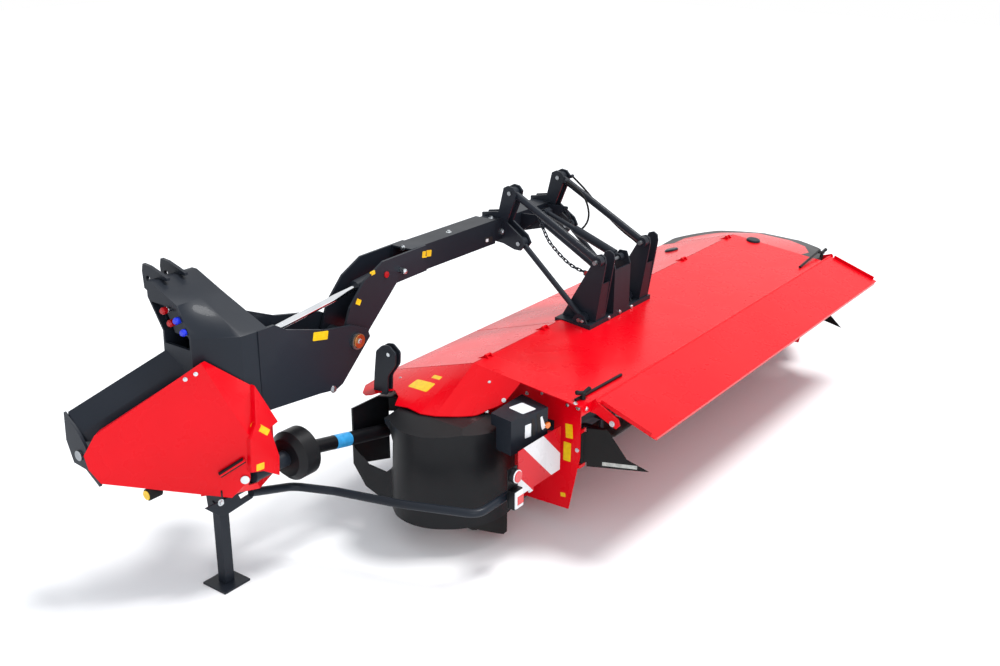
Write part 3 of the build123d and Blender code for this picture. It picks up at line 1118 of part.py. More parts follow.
def conditioner_shroud():
    """The curved plate over the rotor that turns the crop back to the outlet."""
    outer, inner = 312, 306
    arc_points = [radians(a) for a in (25, 50, 75, 100, 125)]
    upper = [(ROTOR_Y + outer * cos(a), ROTOR_Z + outer * sin(a)) for a in arc_points]
    lower = [(ROTOR_Y + inner * cos(a), ROTOR_Z + inner * sin(a)) for a in reversed(arc_points)]
    return across_x(upper + lower, SIDE_IN_X + SIDE_PLATE, SIDE_OUT_X)


def rear_flap():
    """The wide spreader flap with its folded ends, hung on a rod at the hood's rear edge."""
    tilt = radians(FLAP_TILT)
    slope = Plane(origin=(FLAP_IN_X, FLAP_HINGE_Y, FLAP_HINGE_Z), x_dir=(1, 0, 0), z_dir=(0, -sin(tilt), cos(tilt)))
    width = FLAP_OUT_X - FLAP_IN_X
    panel = Pos(width / 2, -FLAP_DEPTH / 2 - 2, 0) * Box(width, FLAP_DEPTH - 4, SHEET)
    ends = [Pos(x, -FLAP_DEPTH / 2, 12) * Box(SHEET, FLAP_DEPTH - 60, 24) for x in (SHEET / 2, width - SHEET / 2)]
    edge = Pos(width / 2, -FLAP_DEPTH + SHEET / 2, -10) * Box(width - 60, SHEET, 24)
    flap = slope * (panel + ends + edge)
    return flap + bar_x(FLAP_IN_X - 20, FLAP_OUT_X + 20, (FLAP_HINGE_Y, FLAP_HINGE_Z), FLAP_ROD_RADIUS)


def flap_brackets():
    """An ear at each end of the flap's rod."""
    y, z = FLAP_HINGE_Y, FLAP_HINGE_Z
    brackets = []
    for x, root in ((FLAP_IN_X - 16, HOOD_REAR_Y), (FLAP_OUT_X + 6, -1790)):
        ear = across_x([(root, z - 62), (root, z - 5), (y - 5, z + 18), (y - 20, z), (y - 12, z - 20)], x, x + 10)
        brackets.append(ear - bar_x(x - 1, x + 11, (y, z), FLAP_ROD_RADIUS + RUN_GAP))
    return brackets


def swath_board(x, side):
    """A board on an upright pin, turned inward by its toe angle; side is 1 on the inner and -1 on the outer board."""
    top, low = BOARD_TOP_Z, BOARD_LOW_Z
    shape = [(-34, top), (-34, low), (-BOARD_LENGTH, low), (-BOARD_LENGTH + 130, top - 180), (-BOARD_LENGTH + 250, top)]
    board = across_x(shape, -BOARD / 2, BOARD / 2)
    foot, head = low + LUG, top - LUG
    board += bar((0, 0, low - 6), (0, 0, top + 6), BOARD_PIN_RADIUS)
    board += bar((0, 0, foot + SEAT_GAP), (0, 0, head - SEAT_GAP), BOARD_PIN_RADIUS + 6)
    board += block(-BOARD / 2, BOARD / 2, -36, 0, foot + MOVE_GAP, head - MOVE_GAP)
    return Pos(x, BOARD_PIN_Y, 0) * Rot(0, 0, side * BOARD_TOE) * board


def board_hinges(face_x, pin_x, side):
    """Two lugs on the side plate that hold the board's pin at its ends."""
    lugs = []
    for z in (BOARD_LOW_Z, BOARD_TOP_Z - LUG):
        low_x, high_x = sorted((face_x, pin_x + side * (BOARD_PIN_RADIUS + 8)))
        lug = block(low_x, high_x, BOARD_PIN_Y - BOARD_PIN_RADIUS - 8, BOARD_PIN_Y + 30, z, z + LUG)
        lugs.append(lug - bar((pin_x, BOARD_PIN_Y, z - 1), (pin_x, BOARD_PIN_Y, z + LUG + 1), BOARD_PIN_RADIUS + RUN_GAP))
    return lugs


def build_deck():
    outer_hood, outer_rim = outer_end()
    NODES["hood_panels"] = joined([hood_top(), inner_hood(), outer_hood])
    NODES["outer_rim"] = outer_rim
    NODES["front_guard_inner"] = front_strip(HOOD_IN_X + PANEL_GAP, CENTRE_IN_X - PANEL_GAP, INNER_HINGES)
    NODES["front_guard_outer"] = front_strip(CENTRE_OUT_X + PANEL_GAP, HOOD_OUT_X - PANEL_GAP, OUTER_HINGES)
    NODES["front_curtain_inner"] = curtain(HOOD_IN_X + PANEL_GAP, CENTRE_IN_X - PANEL_GAP)
    NODES["front_curtain_centre"] = curtain(CENTRE_IN_X, CENTRE_OUT_X)
    NODES["front_curtain_outer"] = curtain(CENTRE_OUT_X + PANEL_GAP, HOOD_OUT_X - PANEL_GAP)
    NODES["drum_cover"] = drum_cover()
    NODES["inner_shield"] = inner_shield()
    NODES["rubber_apron"] = rubber_apron()
    NODES["belt_cover"] = belt_cover()
    beam, beam_form = deck_beam()
    inner_pin_x = SIDE_IN_X + SIDE_PLATE + BOARD_PIN_OFFSET
    outer_pin_x = SIDE_OUT_X - BOARD_PIN_OFFSET
    hinges = board_hinges(SIDE_IN_X + SIDE_PLATE, inner_pin_x, 1) + board_hinges(SIDE_OUT_X, outer_pin_x, -1)
    plates = [side_plate(SIDE_IN_X, SEAT_GAP), side_plate(SIDE_OUT_X, 50)]
    NODES["side_plates"] = joined(plates + hinges + flap_brackets()) - beam - beam_form
    NODES["deck_beam"] = beam
    NODES["deck_gearbox"] = deck_gearbox()
    NODES["cutterbar"] = cutterbar()
    NODES["skids"] = skids()
    for i in range(DISC_COUNT):
        NODES[f"disc_{i + 1}"] = disc(i)
    NODES["conditioner_rotor"] = conditioner_rotor()
    NODES["conditioner_shroud"] = conditioner_shroud()
    NODES["rear_flap"] = rear_flap()
    NODES["swath_board_inner"] = swath_board(inner_pin_x, 1)
    NODES["swath_board_outer"] = swath_board(outer_pin_x, -1)


build_headstock()
build_boom()
build_lift_cylinder()
build_driveline()
build_deck()

ORIGIN_X = (RIM_END_X - 614) / 2
ORIGIN_Y = -1067.5

os.makedirs("parts", exist_ok=True)
for name, shape in NODES.items():
    export_step(Pos(-ORIGIN_X, -ORIGIN_Y, 0) * shape, f"parts/{name}.step")
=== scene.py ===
# %% [markdown]
# This file dresses a rear-mounted disc mower, piece by piece. The machine's own solids come in from the
# frame, at their real size and place, and nothing here moves them. What is added is finish: enamel,
# moulded plastic, rubber, cloth and steel, and the small trim that sits on them.

# %% Load the frame and find the hitch
import json
import math

import bmesh
import bpy
from mathutils import Matrix, Vector

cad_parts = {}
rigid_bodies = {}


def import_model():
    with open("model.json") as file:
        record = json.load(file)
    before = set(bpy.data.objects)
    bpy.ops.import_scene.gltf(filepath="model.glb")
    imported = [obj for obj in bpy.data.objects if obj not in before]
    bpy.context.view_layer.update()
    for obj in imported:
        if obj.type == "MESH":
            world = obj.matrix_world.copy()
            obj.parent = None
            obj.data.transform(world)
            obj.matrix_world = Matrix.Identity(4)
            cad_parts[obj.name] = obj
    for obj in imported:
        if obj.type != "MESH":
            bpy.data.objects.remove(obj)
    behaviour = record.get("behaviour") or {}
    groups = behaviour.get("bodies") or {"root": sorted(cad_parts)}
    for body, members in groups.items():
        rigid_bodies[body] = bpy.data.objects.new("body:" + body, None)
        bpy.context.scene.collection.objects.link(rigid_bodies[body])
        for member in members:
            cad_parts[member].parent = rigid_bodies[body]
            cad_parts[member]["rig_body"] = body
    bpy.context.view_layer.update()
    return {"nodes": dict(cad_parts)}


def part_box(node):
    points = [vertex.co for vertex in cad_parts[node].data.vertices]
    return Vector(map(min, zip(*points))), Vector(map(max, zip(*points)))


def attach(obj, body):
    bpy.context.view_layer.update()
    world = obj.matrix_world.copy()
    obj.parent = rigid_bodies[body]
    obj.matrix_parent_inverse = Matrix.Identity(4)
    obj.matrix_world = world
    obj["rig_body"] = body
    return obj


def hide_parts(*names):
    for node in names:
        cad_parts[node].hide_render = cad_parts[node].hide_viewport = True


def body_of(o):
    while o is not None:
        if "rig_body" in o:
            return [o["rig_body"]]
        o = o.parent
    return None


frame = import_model()
nodes = frame["nodes"]
pin_low, pin_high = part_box("lower_link_pins")
hitch_x = (pin_low[0] + pin_high[0]) / 2
hitch_y = (pin_low[1] + pin_high[1]) / 2


def spot(x, y, z):
    """A place given from the hitch: x from its centre line, y from its lower pins, z from the ground."""
    return Vector((hitch_x + x, hitch_y + y, z))


print("nodes", len(nodes), "hitch at", round(hitch_x, 3), round(hitch_y, 3))

# %% [markdown]
# The machine is seen from behind and from its left, a little above its hood, as a dealer's photographer
# would stand. A camera can be aimed at a target with a constraint, or given its three axes directly. The
# axes are given here, because the heading, the dip and a slight roll were each measured, and they stay
# readable.

# %% Camera
CAMERA_SPOT = (-3.7144, -5.0171, 3.6191)
HEADING, DIP, ROLL = 35.731, 20.366, 0.461
FOCAL_PIXELS = 1177.93
PHOTO_WIDTH, PHOTO_HEIGHT = 1000, 666
AXIS_PIXEL = (509.86, 325.22)
SENSOR = 36.0

heading, dip, roll = (math.radians(a) for a in (HEADING, DIP, ROLL))
ahead = Vector((math.cos(heading) * math.cos(dip), math.sin(heading) * math.cos(dip), -math.sin(dip)))
level = Vector((math.sin(heading), -math.cos(heading), 0.0))
rise = level.cross(ahead)
right = math.cos(roll) * level + math.sin(roll) * rise
up = -math.sin(roll) * level + math.cos(roll) * rise
camera_data = bpy.data.cameras.new("dealer_camera")
camera_data.sensor_width = SENSOR
camera_data.lens = FOCAL_PIXELS / PHOTO_WIDTH * SENSOR
camera_data.shift_x = (PHOTO_WIDTH / 2 - AXIS_PIXEL[0]) / PHOTO_WIDTH
camera_data.shift_y = (AXIS_PIXEL[1] - PHOTO_HEIGHT / 2) / PHOTO_WIDTH
camera = bpy.data.objects.new("dealer_camera", camera_data)
bpy.context.scene.collection.objects.link(camera)
axes = Matrix((right, up, -ahead)).transposed()
camera.matrix_world = Matrix.Translation(spot(*CAMERA_SPOT)) @ axes.to_4x4()
bpy.context.scene.camera = camera
print("camera lens", round(camera_data.lens, 2), "mm")

# %% [markdown]
# The studio is a pale floor that fades into a white surround, so the dark headstock stands out by its
# outline. The surround is white to the camera and in reflections, while the light that falls on the
# machine stays at a plain level, so that colours render about as they are written.

# %% Studio
SURROUND_LIGHT = 0.75
SKY_TINT = (0.90, 0.94, 1.0, 1.0)
KEY_STRENGTH = 2.6
KEY_SPREAD = 18.0
KEY_WAY = (0.35, -0.25, 1.0)
FILL_PLACE, FILL_TARGET = (-3.0, -7.0, 4.0), (2.5, -1.0, 0.6)
FILL_SIZE, FILL_WATTS = 5.0, 160
FLOOR_SIZE = 60.0

bpy.context.scene.view_settings.view_transform = "Standard"
world = bpy.data.worlds.new("studio")
bpy.context.scene.world = world
world.use_nodes = True
tree = world.node_tree
tree.nodes.clear()
path = tree.nodes.new("ShaderNodeLightPath")
shown = tree.nodes.new("ShaderNodeBackground")
shown.inputs["Color"].default_value = (1.0, 1.0, 1.0, 1.0)
lit = tree.nodes.new("ShaderNodeBackground")
lit.inputs["Color"].default_value = SKY_TINT
lit.inputs["Strength"].default_value = SURROUND_LIGHT
mix = tree.nodes.new("ShaderNodeMixShader")
world_out = tree.nodes.new("ShaderNodeOutputWorld")
share = path.outputs["Is Camera Ray"]
for ray in ("Is Transmission Ray", "Is Glossy Ray"):
    either = tree.nodes.new("ShaderNodeMath")
    either.operation = "MAXIMUM"
    tree.links.new(share, either.inputs[0])
    tree.links.new(path.outputs[ray], either.inputs[1])
    share = either.outputs[0]
tree.links.new(share, mix.inputs[0])
tree.links.new(lit.outputs[0], mix.inputs[1])
tree.links.new(shown.outputs[0], mix.inputs[2])
tree.links.new(mix.outputs[0], world_out.inputs["Surface"])


def lamp(name, place, target, size, watts):
    """A square soft light that looks at a target."""
    data = bpy.data.lights.new(name, "AREA")
    data.size = size
    data.energy = watts
    light = bpy.data.objects.new(name, data)
    bpy.context.scene.collection.objects.link(light)
    aim = (Vector(target) - Vector(place)).to_track_quat("-Z", "Y")
    light.matrix_world = Matrix.Translation(place) @ aim.to_matrix().to_4x4()


sun_data = bpy.data.lights.new("soft_sun", "SUN")
sun_data.energy = KEY_STRENGTH
sun_data.angle = math.radians(KEY_SPREAD)
sun = bpy.data.objects.new("soft_sun", sun_data)
bpy.context.scene.collection.objects.link(sun)
sun.rotation_euler = Vector(KEY_WAY).to_track_quat("Z", "Y").to_euler()
lamp("fill", spot(*FILL_PLACE), spot(*FILL_TARGET), FILL_SIZE, FILL_WATTS)

floor_mesh = bmesh.new()
bmesh.ops.create_grid(floor_mesh, x_segments=1, y_segments=1, size=FLOOR_SIZE / 2)
floor_data = bpy.data.meshes.new("studio_floor")
floor_mesh.to_mesh(floor_data)
floor_mesh.free()
floor = bpy.data.objects.new("studio_floor", floor_data)
bpy.context.scene.collection.objects.link(floor)
print("studio ready")

# %% [markdown]
# A material is a small graph. Most finishes here share one habit: a colour that wanders a little, a
# roughness that wanders a little, and a fine bump. The helper below builds that habit, and each finish
# then sets its own numbers. All patterns read Object coordinates, which are metres in the machine's own
# frame.

# %% A helper for finishes


def colour(code):
    """A hex colour as linear light."""
    values = [int(code[i:i + 2], 16) / 255 for i in (1, 3, 5)]
    return tuple(v / 12.92 if v <= 0.04045 else ((v + 0.055) / 1.055) ** 2.4 for v in values) + (1.0,)


class Finish:
    """A material under construction, with short names for the nodes it needs."""

    def __init__(self, name):
        self.material = bpy.data.materials.new(name)
        self.material.use_nodes = True
        self.tree = self.material.node_tree
        self.shader = self.tree.nodes["Principled BSDF"]
        self.place = self.node("ShaderNodeTexCoord").outputs["Object"]

    def node(self, kind, **settings):
        made = self.tree.nodes.new(kind)
        for key, value in settings.items():
            setattr(made, key, value)
        return made

    def join(self, source, target):
        self.tree.links.new(source, target)

    def noise(self, scale, detail=3.0, stretch=(1.0, 1.0, 1.0), roughness=0.5):
        mapping = self.node("ShaderNodeMapping")
        mapping.inputs["Scale"].default_value = stretch
        self.join(self.place, mapping.inputs["Vector"])
        made = self.node("ShaderNodeTexNoise")
        made.inputs["Scale"].default_value = scale
        made.inputs["Detail"].default_value = detail
        made.inputs["Roughness"].default_value = roughness
        self.join(mapping.outputs[0], made.inputs["Vector"])
        return made.outputs["Fac"]

    def ramp(self, source, stops):
        made = self.node("ShaderNodeValToRGB")
        points = made.color_ramp.elements
        while len(points) < len(stops):
            points.new(0.5)
        for point, (place, value) in zip(points, stops):
            point.position = place
            point.color = value if isinstance(value, tuple) else (value, value, value, 1.0)
        self.join(source, made.inputs[0])
        return made.outputs[0]

    def mix(self, factor, low, high):
        made = self.node("ShaderNodeMix", data_type="RGBA")
        for socket, value in ((made.inputs[0], factor), (made.inputs[6], low), (made.inputs[7], high)):
            if isinstance(value, (tuple, float)):
                socket.default_value = value
            else:
                self.join(value, socket)
        return made.outputs[2]

    def tone(self, scale, detail, edges, base, deep):
        """A colour that wanders between two, in patches whose edges are places on the noise."""
        patches = self.ramp(self.noise(scale, detail), [(edges[0], 0.0), (edges[1], 1.0)])
        return self.mix(patches, colour(base), colour(deep))

    def bump(self, source, strength, distance=0.001):
        made = self.node("ShaderNodeBump")
        made.inputs["Strength"].default_value = strength
        made.inputs["Distance"].default_value = distance
        self.join(source, made.inputs["Height"])
        self.join(made.outputs[0], self.shader.inputs["Normal"])

    def rough(self, source, low, high):
        made = self.node("ShaderNodeMapRange")
        made.inputs["To Min"].default_value = low
        made.inputs["To Max"].default_value = high
        self.join(source, made.inputs["Value"])
        self.join(made.outputs[0], self.shader.inputs["Roughness"])


def dust_on_tops(finish, base, dust, amount):
    """Dust settles where a face looks up; it thins out in patches."""
    geometry = finish.node("ShaderNodeNewGeometry")
    parts = finish.node("ShaderNodeSeparateXYZ")
    finish.join(geometry.outputs["Normal"], parts.inputs[0])
    facing = finish.ramp(parts.outputs["Z"], [(0.35, 0.0), (1.0, amount)])
    patches = finish.ramp(finish.noise(2.3, 6.0), [(0.42, 0.0), (0.72, 1.0)])
    product = finish.node("ShaderNodeMath", operation="MULTIPLY")
    finish.join(facing, product.inputs[0])
    finish.join(patches, product.inputs[1])
    return finish.mix(product.outputs[0], base, dust)


def painted(name, base, deep, low, high, coat, dust):
    """Enamel over steel: a clear coat over a colour, a faint orange peel and a little dust."""
    finish = Finish(name)
    tone = finish.tone(1.4, 4.0, (0.3, 0.75), base, deep)
    finish.join(dust_on_tops(finish, tone, colour("#8a8178"), dust), finish.shader.inputs["Base Color"])
    finish.rough(finish.noise(6.0, 5.0), low, high)
    finish.shader.inputs["Coat Weight"].default_value = coat
    finish.shader.inputs["Coat Roughness"].default_value = 0.08
    finish.shader.inputs["Specular IOR Level"].default_value = 0.16
    finish.bump(finish.noise(260.0, 2.0), 0.10, 0.0004)
    return finish.material


red_enamel = painted("red_enamel", "#e20016", "#cf000e", 0.22, 0.34, 0.06, 0.02)
dark_coat = painted("anthracite_coat", "#20262f", "#191d24", 0.34, 0.48, 0.06, 0.03)
print("enamel", red_enamel.name, dark_coat.name)

# %% Plastic, rubber and cloth


def moulded(name, base, deep, low, high, grain):
    """Moulded plastic: an even colour and a fine grain from the mould."""
    finish = Finish(name)
    tone = finish.tone(3.1, 3.0, (0.3, 0.8), base, deep)
    finish.join(dust_on_tops(finish, tone, colour("#6f6a64"), 0.04), finish.shader.inputs["Base Color"])
    finish.rough(finish.noise(8.0, 4.0), low, high)
    finish.shader.inputs["Specular IOR Level"].default_value = 0.2
    finish.bump(finish.noise(grain, 2.0), 0.18, 0.0004)
    return finish.material


black_plastic = moulded("black_moulded_plastic", "#0d0e12", "#131417", 0.30, 0.44, 420.0)
black_rubber = moulded("black_rubber_sheet", "#0f0f10", "#171616", 0.55, 0.72, 160.0)


def coated_cloth():
    """The curtain's coated cloth: two crossed waves for the weave under a dull coat."""
    finish = Finish("coated_curtain_cloth")
    waves = []
    for direction in ("X", "Z"):
        wave = finish.node("ShaderNodeTexWave", wave_type="BANDS", bands_direction=direction)
        wave.inputs["Scale"].default_value = 95.0
        finish.join(finish.place, wave.inputs["Vector"])
        waves.append(wave.outputs["Fac"])
    weave = finish.node("ShaderNodeMath", operation="MULTIPLY")
    finish.join(waves[0], weave.inputs[0])
    finish.join(waves[1], weave.inputs[1])
    tone = finish.mix(finish.noise(5.0, 5.0), colour("#8f9298"), colour("#a6a8ab"))
    finish.join(tone, finish.shader.inputs["Base Color"])
    finish.rough(finish.noise(9.0, 3.0), 0.55, 0.75)
    finish.bump(weave.outputs[0], 0.25, 0.0006)
    finish.shader.inputs["Sheen Weight"].default_value = 0.15
    return finish.material


curtain_cloth = coated_cloth()
print("soft finishes", black_rubber.name, curtain_cloth.name)

# %% Steel and chrome


def steel(name, base, deep, low, high, stretch):
    """Bare or plated steel with faint draw marks along one direction and a little staining."""
    finish = Finish(name)
    finish.join(finish.tone(7.0, 6.0, (0.35, 0.7), base, deep), finish.shader.inputs["Base Color"])
    finish.shader.inputs["Metallic"].default_value = 1.0
    finish.rough(finish.noise(20.0, 4.0, stretch), low, high)
    finish.bump(finish.noise(90.0, 2.0, stretch), 0.12, 0.0003)
    return finish.material


plain_steel = steel("plain_steel", "#a3a7ab", "#74787c", 0.30, 0.50, (1.0, 8.0, 1.0))
worn_steel = steel("worn_skid_steel", "#7c7e80", "#4d4b48", 0.38, 0.60, (8.0, 1.0, 1.0))
chrome = steel("hard_chrome", "#e6e9ec", "#cfd4da", 0.05, 0.11, (0.4, 6.0, 6.0))
print("metals", plain_steel.name, worn_steel.name, chrome.name)

# %% [markdown]
# The warning board is a sheet of reflective film with slanting red and white bars. The bars could be
# separate strips, but on the real board they are printed, so they are worked out in the material: a
# slanted ruler across the board, folded into bars by a modulo. A cell pattern gives the film its sparkle.

# %% Warning board
BAR_PITCH = 0.282
BAR_SLOPE = 45.0
BOARD_SHIFT = 0.155
board_low, board_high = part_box("warning_board")


def striped_film():
    """Reflective film whose bars are worked out from a slanted ruler."""
    finish = Finish("striped_reflective_film")
    ruler = finish.node("ShaderNodeVectorMath", operation="DOT_PRODUCT")
    slope = math.radians(BAR_SLOPE)
    ruler.inputs[1].default_value = (math.cos(slope), 0.0, math.sin(slope))
    corner = finish.node("ShaderNodeVectorMath", operation="SUBTRACT")
    corner.inputs[1].default_value = (board_low[0] + BOARD_SHIFT, 0.0, board_low[2])
    finish.join(finish.place, corner.inputs[0])
    finish.join(corner.outputs[0], ruler.inputs[0])
    fold = finish.node("ShaderNodeMath", operation="WRAP")
    finish.join(ruler.outputs["Value"], fold.inputs[0])
    fold.inputs[1].default_value = BAR_PITCH
    fold.inputs[2].default_value = 0.0
    bars = finish.ramp(fold.outputs[0], [(0.0, 0.0), (BAR_PITCH / 2, 1.0)])
    finish.tree.nodes[-1].color_ramp.interpolation = "CONSTANT"
    cells = finish.node("ShaderNodeTexVoronoi", feature="DISTANCE_TO_EDGE")
    cells.inputs["Scale"].default_value = 220.0
    finish.join(finish.place, cells.inputs["Vector"])
    red = finish.mix(cells.outputs["Distance"], colour("#c40a1c"), colour("#dc1426"))
    white = finish.mix(cells.outputs["Distance"], colour("#d4d6d8"), colour("#f0f1f2"))
    finish.join(finish.mix(bars, red, white), finish.shader.inputs["Base Color"])
    finish.rough(finish.noise(5.0, 3.0), 0.22, 0.34)
    finish.shader.inputs["Coat Weight"].default_value = 0.08
    finish.shader.inputs["Specular IOR Level"].default_value = 0.2
    finish.bump(cells.outputs["Distance"], 0.12, 0.0003)
    return finish.material


striped_board = striped_film()
print("board from", [round(v, 3) for v in board_low])

# %% [markdown]
# Each solid of the machine gets its finish by name. The list reads like a paint plan: the fixed frame and
# the suspension are anthracite, the sheet metal of the deck is red, and wearing parts are steel.

# %% Paint plan
PAINT_PLAN = {
    dark_coat: [
        "hitch_mast", "top_link_hooks", "boom_support_plates", "stand_bracket", "parking_leg", "light_bar",
        "boom_arm", "boom_inner_tube", "link_hangers", "suspension_links", "link_towers", "centre_bar",
        "deck_beam", "cutterbar", "conditioner_rotor", "float_cylinder", "lift_barrel", "drive_gearbox",
        "deck_gearbox", "stay_chains", "belt_cover",
    ],
    red_enamel: [
        "drive_cover", "hood_panels", "front_guard_inner", "front_guard_outer", "side_plates", "rear_flap",
        "conditioner_shroud",
    ],
    black_plastic: [
        "shaft_guard_bell", "driveline_inner_half", "driveline_outer_half", "drum_cover", "inner_shield",
        "outer_rim", "marker_lamps",
    ],
    black_rubber: ["rubber_apron", "swath_board_inner", "swath_board_outer", "suspension_hoses"],
    curtain_cloth: ["front_curtain_inner", "front_curtain_centre", "front_curtain_outer"],
    plain_steel: ["link_pins", "lower_link_pins", "boom_pivot_pin"] + [f"disc_{i}" for i in range(1, 11)],
    worn_steel: ["skids"],
    chrome: ["lift_rod"],
    striped_board: ["warning_board"],
}
for finish_used, names in PAINT_PLAN.items():
    for name in names:
        nodes[name].data.materials.clear()
        nodes[name].data.materials.append(finish_used)
unpainted = sorted(set(nodes) - {name for names in PAINT_PLAN.values() for name in names})
print("unpainted", unpainted)

# %% [markdown]
# Small trim sits on the machine's own surfaces: labels, bolt heads, round pieces. Each could be placed by
# typed coordinates, but the camera is already here, so a ray from it through a pixel of the picture finds
# the exact spot, the way the surface faces there, and the body that carries it.

# %% A ray from the camera to the surface
bpy.context.view_layer.update()
scene = bpy.context.scene


def ray_through(px, py):
    """The way from the camera through a pixel of the picture."""
    across = (px - AXIS_PIXEL[0]) / FOCAL_PIXELS
    above = (AXIS_PIXEL[1] - py) / FOCAL_PIXELS
    return ahead + across * right + above * up


def seen(px, py):
    """The first surface behind a pixel of the picture: its place, its normal and the body it rides on."""
    ray = ray_through(px, py).normalized()
    graph = bpy.context.evaluated_depsgraph_get()
    hit, place, facing, _, found, _ = scene.ray_cast(graph, camera.location, ray)
    if facing.dot(ray) > 0:
        facing = -facing
    bodies = body_of(found) if hit else None
    return place, facing, (bodies[0] if bodies else None)


def piece(name, shape, body, finish):
    """A finished bmesh becomes an object at the origin that rides on a body."""
    bmesh.ops.recalc_face_normals(shape, faces=shape.faces)
    data = bpy.data.meshes.new(name)
    shape.to_mesh(data)
    shape.free()
    made = bpy.data.objects.new(name, data)
    scene.collection.objects.link(made)
    data.materials.append(finish)
    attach(made, body)
    return made


print("a ray through the middle meets", seen(PHOTO_WIDTH / 2, PHOTO_HEIGHT / 2)[2])

# %% [markdown]
# The labels are thin film, and all of them are blank here. Yellow ones mark hazards and white ones the
# setting scales. Film has an even colour and a slight gloss, so one helper gives it a base colour with a
# faint print grain.

# %% Film and lens finishes


def film(name, base, deep, low, high):
    """Thin film with an even colour and a slight gloss."""
    finish = Finish(name)
    finish.join(finish.tone(40.0, 2.0, (0.4, 0.6), base, deep), finish.shader.inputs["Base Color"])
    finish.rough(finish.noise(30.0, 2.0), low, high)
    finish.bump(finish.noise(300.0, 2.0), 0.05, 0.0002)
    return finish.material


yellow_film = film("yellow_label_film", "#f2c800", "#e6b900", 0.25, 0.38)
white_film = film("white_label_film", "#eceff1", "#dfe3e6", 0.25, 0.38)
strip_film = film("pale_strip_film", "#b4b7b2", "#9da09b", 0.4, 0.6)
blue_film = film("blue_band_film", "#3a9fd8", "#2f90ca", 0.28, 0.42)
# Near-black film has two uses: the print of the sleeve's dark label, and painted shade for the dark inside of
# the belt cover's two vent slots.
dark_print_and_vent_shade = film("dark_print_and_painted_vent_shade", "#08090a", "#0c0d0e", 0.6, 0.8)


def lens(name, base, deep):
    """A moulded lens: clear coat over a ribbed colour."""
    finish = Finish(name)
    ribs = finish.node("ShaderNodeTexWave", wave_type="BANDS", bands_direction="X")
    ribs.inputs["Scale"].default_value = 60.0
    finish.join(finish.place, ribs.inputs["Vector"])
    tone = finish.mix(ribs.outputs["Fac"], colour(base), colour(deep))
    finish.join(tone, finish.shader.inputs["Base Color"])
    finish.rough(finish.noise(12.0, 2.0), 0.10, 0.18)
    finish.shader.inputs["Coat Weight"].default_value = 0.8
    finish.bump(ribs.outputs["Fac"], 0.25, 0.0006)
    return finish.material


red_lens = lens("red_lamp_lens", "#e3101c", "#b4060f")
amber_lens = lens("amber_lamp_lens", "#ff8a12", "#e36f04")
clear_lens = lens("clear_lamp_lens", "#eef0f2", "#cfd3d6")
red_paint_spot = painted("red_coupling_body", "#b00a14", "#98060f", 0.28, 0.40, 0.3, 0.02)
blue_paint_spot = painted("blue_coupling_body", "#1f35d8", "#162ab8", 0.24, 0.34, 0.4, 0.02)
zinc = steel("zinc_plated_bolt", "#dfe3e6", "#b9bfc4", 0.22, 0.34, (1.0, 1.0, 1.0))
copper_wash = steel("copper_washed_collar", "#c98b5a", "#a86c3e", 0.26, 0.40, (1.0, 1.0, 1.0))
print("trim finishes ready")

# %% [markdown]
# Some round pieces stand on a face: the copper collar on the boom's pivot, the red end of the arm's pin,
# the lamp lenses. A disc with a rounded rim is a short cone whose rim edges are bevelled.

# %% Round pieces on a face


def stood(place, out):
    """Turns a form's Z to the way out and moves it to a place."""
    return Matrix.Translation(place) @ out.to_track_quat("Z", "Y").to_matrix().to_4x4()


def rounded(shape, edges, offset, segments=2):
    """Rounds the given edges of a form."""
    bmesh.ops.bevel(shape, geom=edges, offset=offset, offset_type="OFFSET", segments=segments, profile=0.5,
                    affect="EDGES", material=-1)


def button(name, place, out, radius, height, finish, body, rim=0.3, sides=32):
    """A disc with a rounded rim that stands on a face; rim is a share of its height."""
    shape = bmesh.new()
    bmesh.ops.create_cone(shape, cap_ends=True, segments=sides, radius1=radius, radius2=radius, depth=height)
    rounded(shape, [e for e in shape.edges if all(v.co.z > 0 for v in e.verts)], height * rim, segments=3)
    bmesh.ops.transform(shape, matrix=stood(place + out * height / 2, out), verts=shape.verts)
    return piece(name, shape, body, finish)


COLLAR_PIXEL = (359.0, 341.0)
PIVOT_BOLT_RADIUS, PIVOT_BOLT_HEIGHT = 0.017, 0.012
# name: (pixel, radius, height, finish)
ROUND_PIECES = {
    "pivot_collar": (COLLAR_PIXEL, 0.042, 0.010, copper_wash),
    "arm_pin_end_red": ((386.2, 274.6), 0.019, 0.008, red_paint_spot),
    "arm_pin_end_bright": ((400.8, 270.3), 0.017, 0.045, zinc),
    "cover_lock": ((245.1, 479.6), 0.024, 0.006, zinc),
    "chain_hook": ((586.5, 273.0), 0.012, 0.016, red_paint_spot),
}
for name, (pixel, radius, height, finish) in ROUND_PIECES.items():
    place, facing, body = seen(*pixel)
    button(name, place, facing, radius, height, finish, body)
    print(name, [round(v, 3) for v in place], body)
collar_top, collar_out, collar_body = seen(*COLLAR_PIXEL)
button("pivot_bolt", collar_top, collar_out, PIVOT_BOLT_RADIUS, PIVOT_BOLT_HEIGHT, zinc, collar_body, sides=6)

# %% [markdown]
# Some forms are easier to cut from the machine's own solid than to model again. The copy is merged first,
# because the solid arrives as loose triangles. The mast is open on its left, behind the plate that
# carries the boom, and the hydraulic couplings are kept there on a small carrier. The rubber skirt under
# the drum is cut away to a slant.

# %% Copies, cuts and flat plates
# outlines as (y, z) and depths as (low x, high x), from the hitch
RECESS = [
    (-0.436, 1.395), (-0.436, 1.455), (-0.345, 1.600), (-0.150, 1.600), (-0.243, 1.460), (-0.243, 1.395),
]
RECESS_DEPTH = (-0.200, -0.095)
CARRIER = [(-0.438, 1.450), (-0.290, 1.450), (-0.215, 1.598), (-0.346, 1.598)]
CARRIER_DEPTH = (-0.104, -0.098)


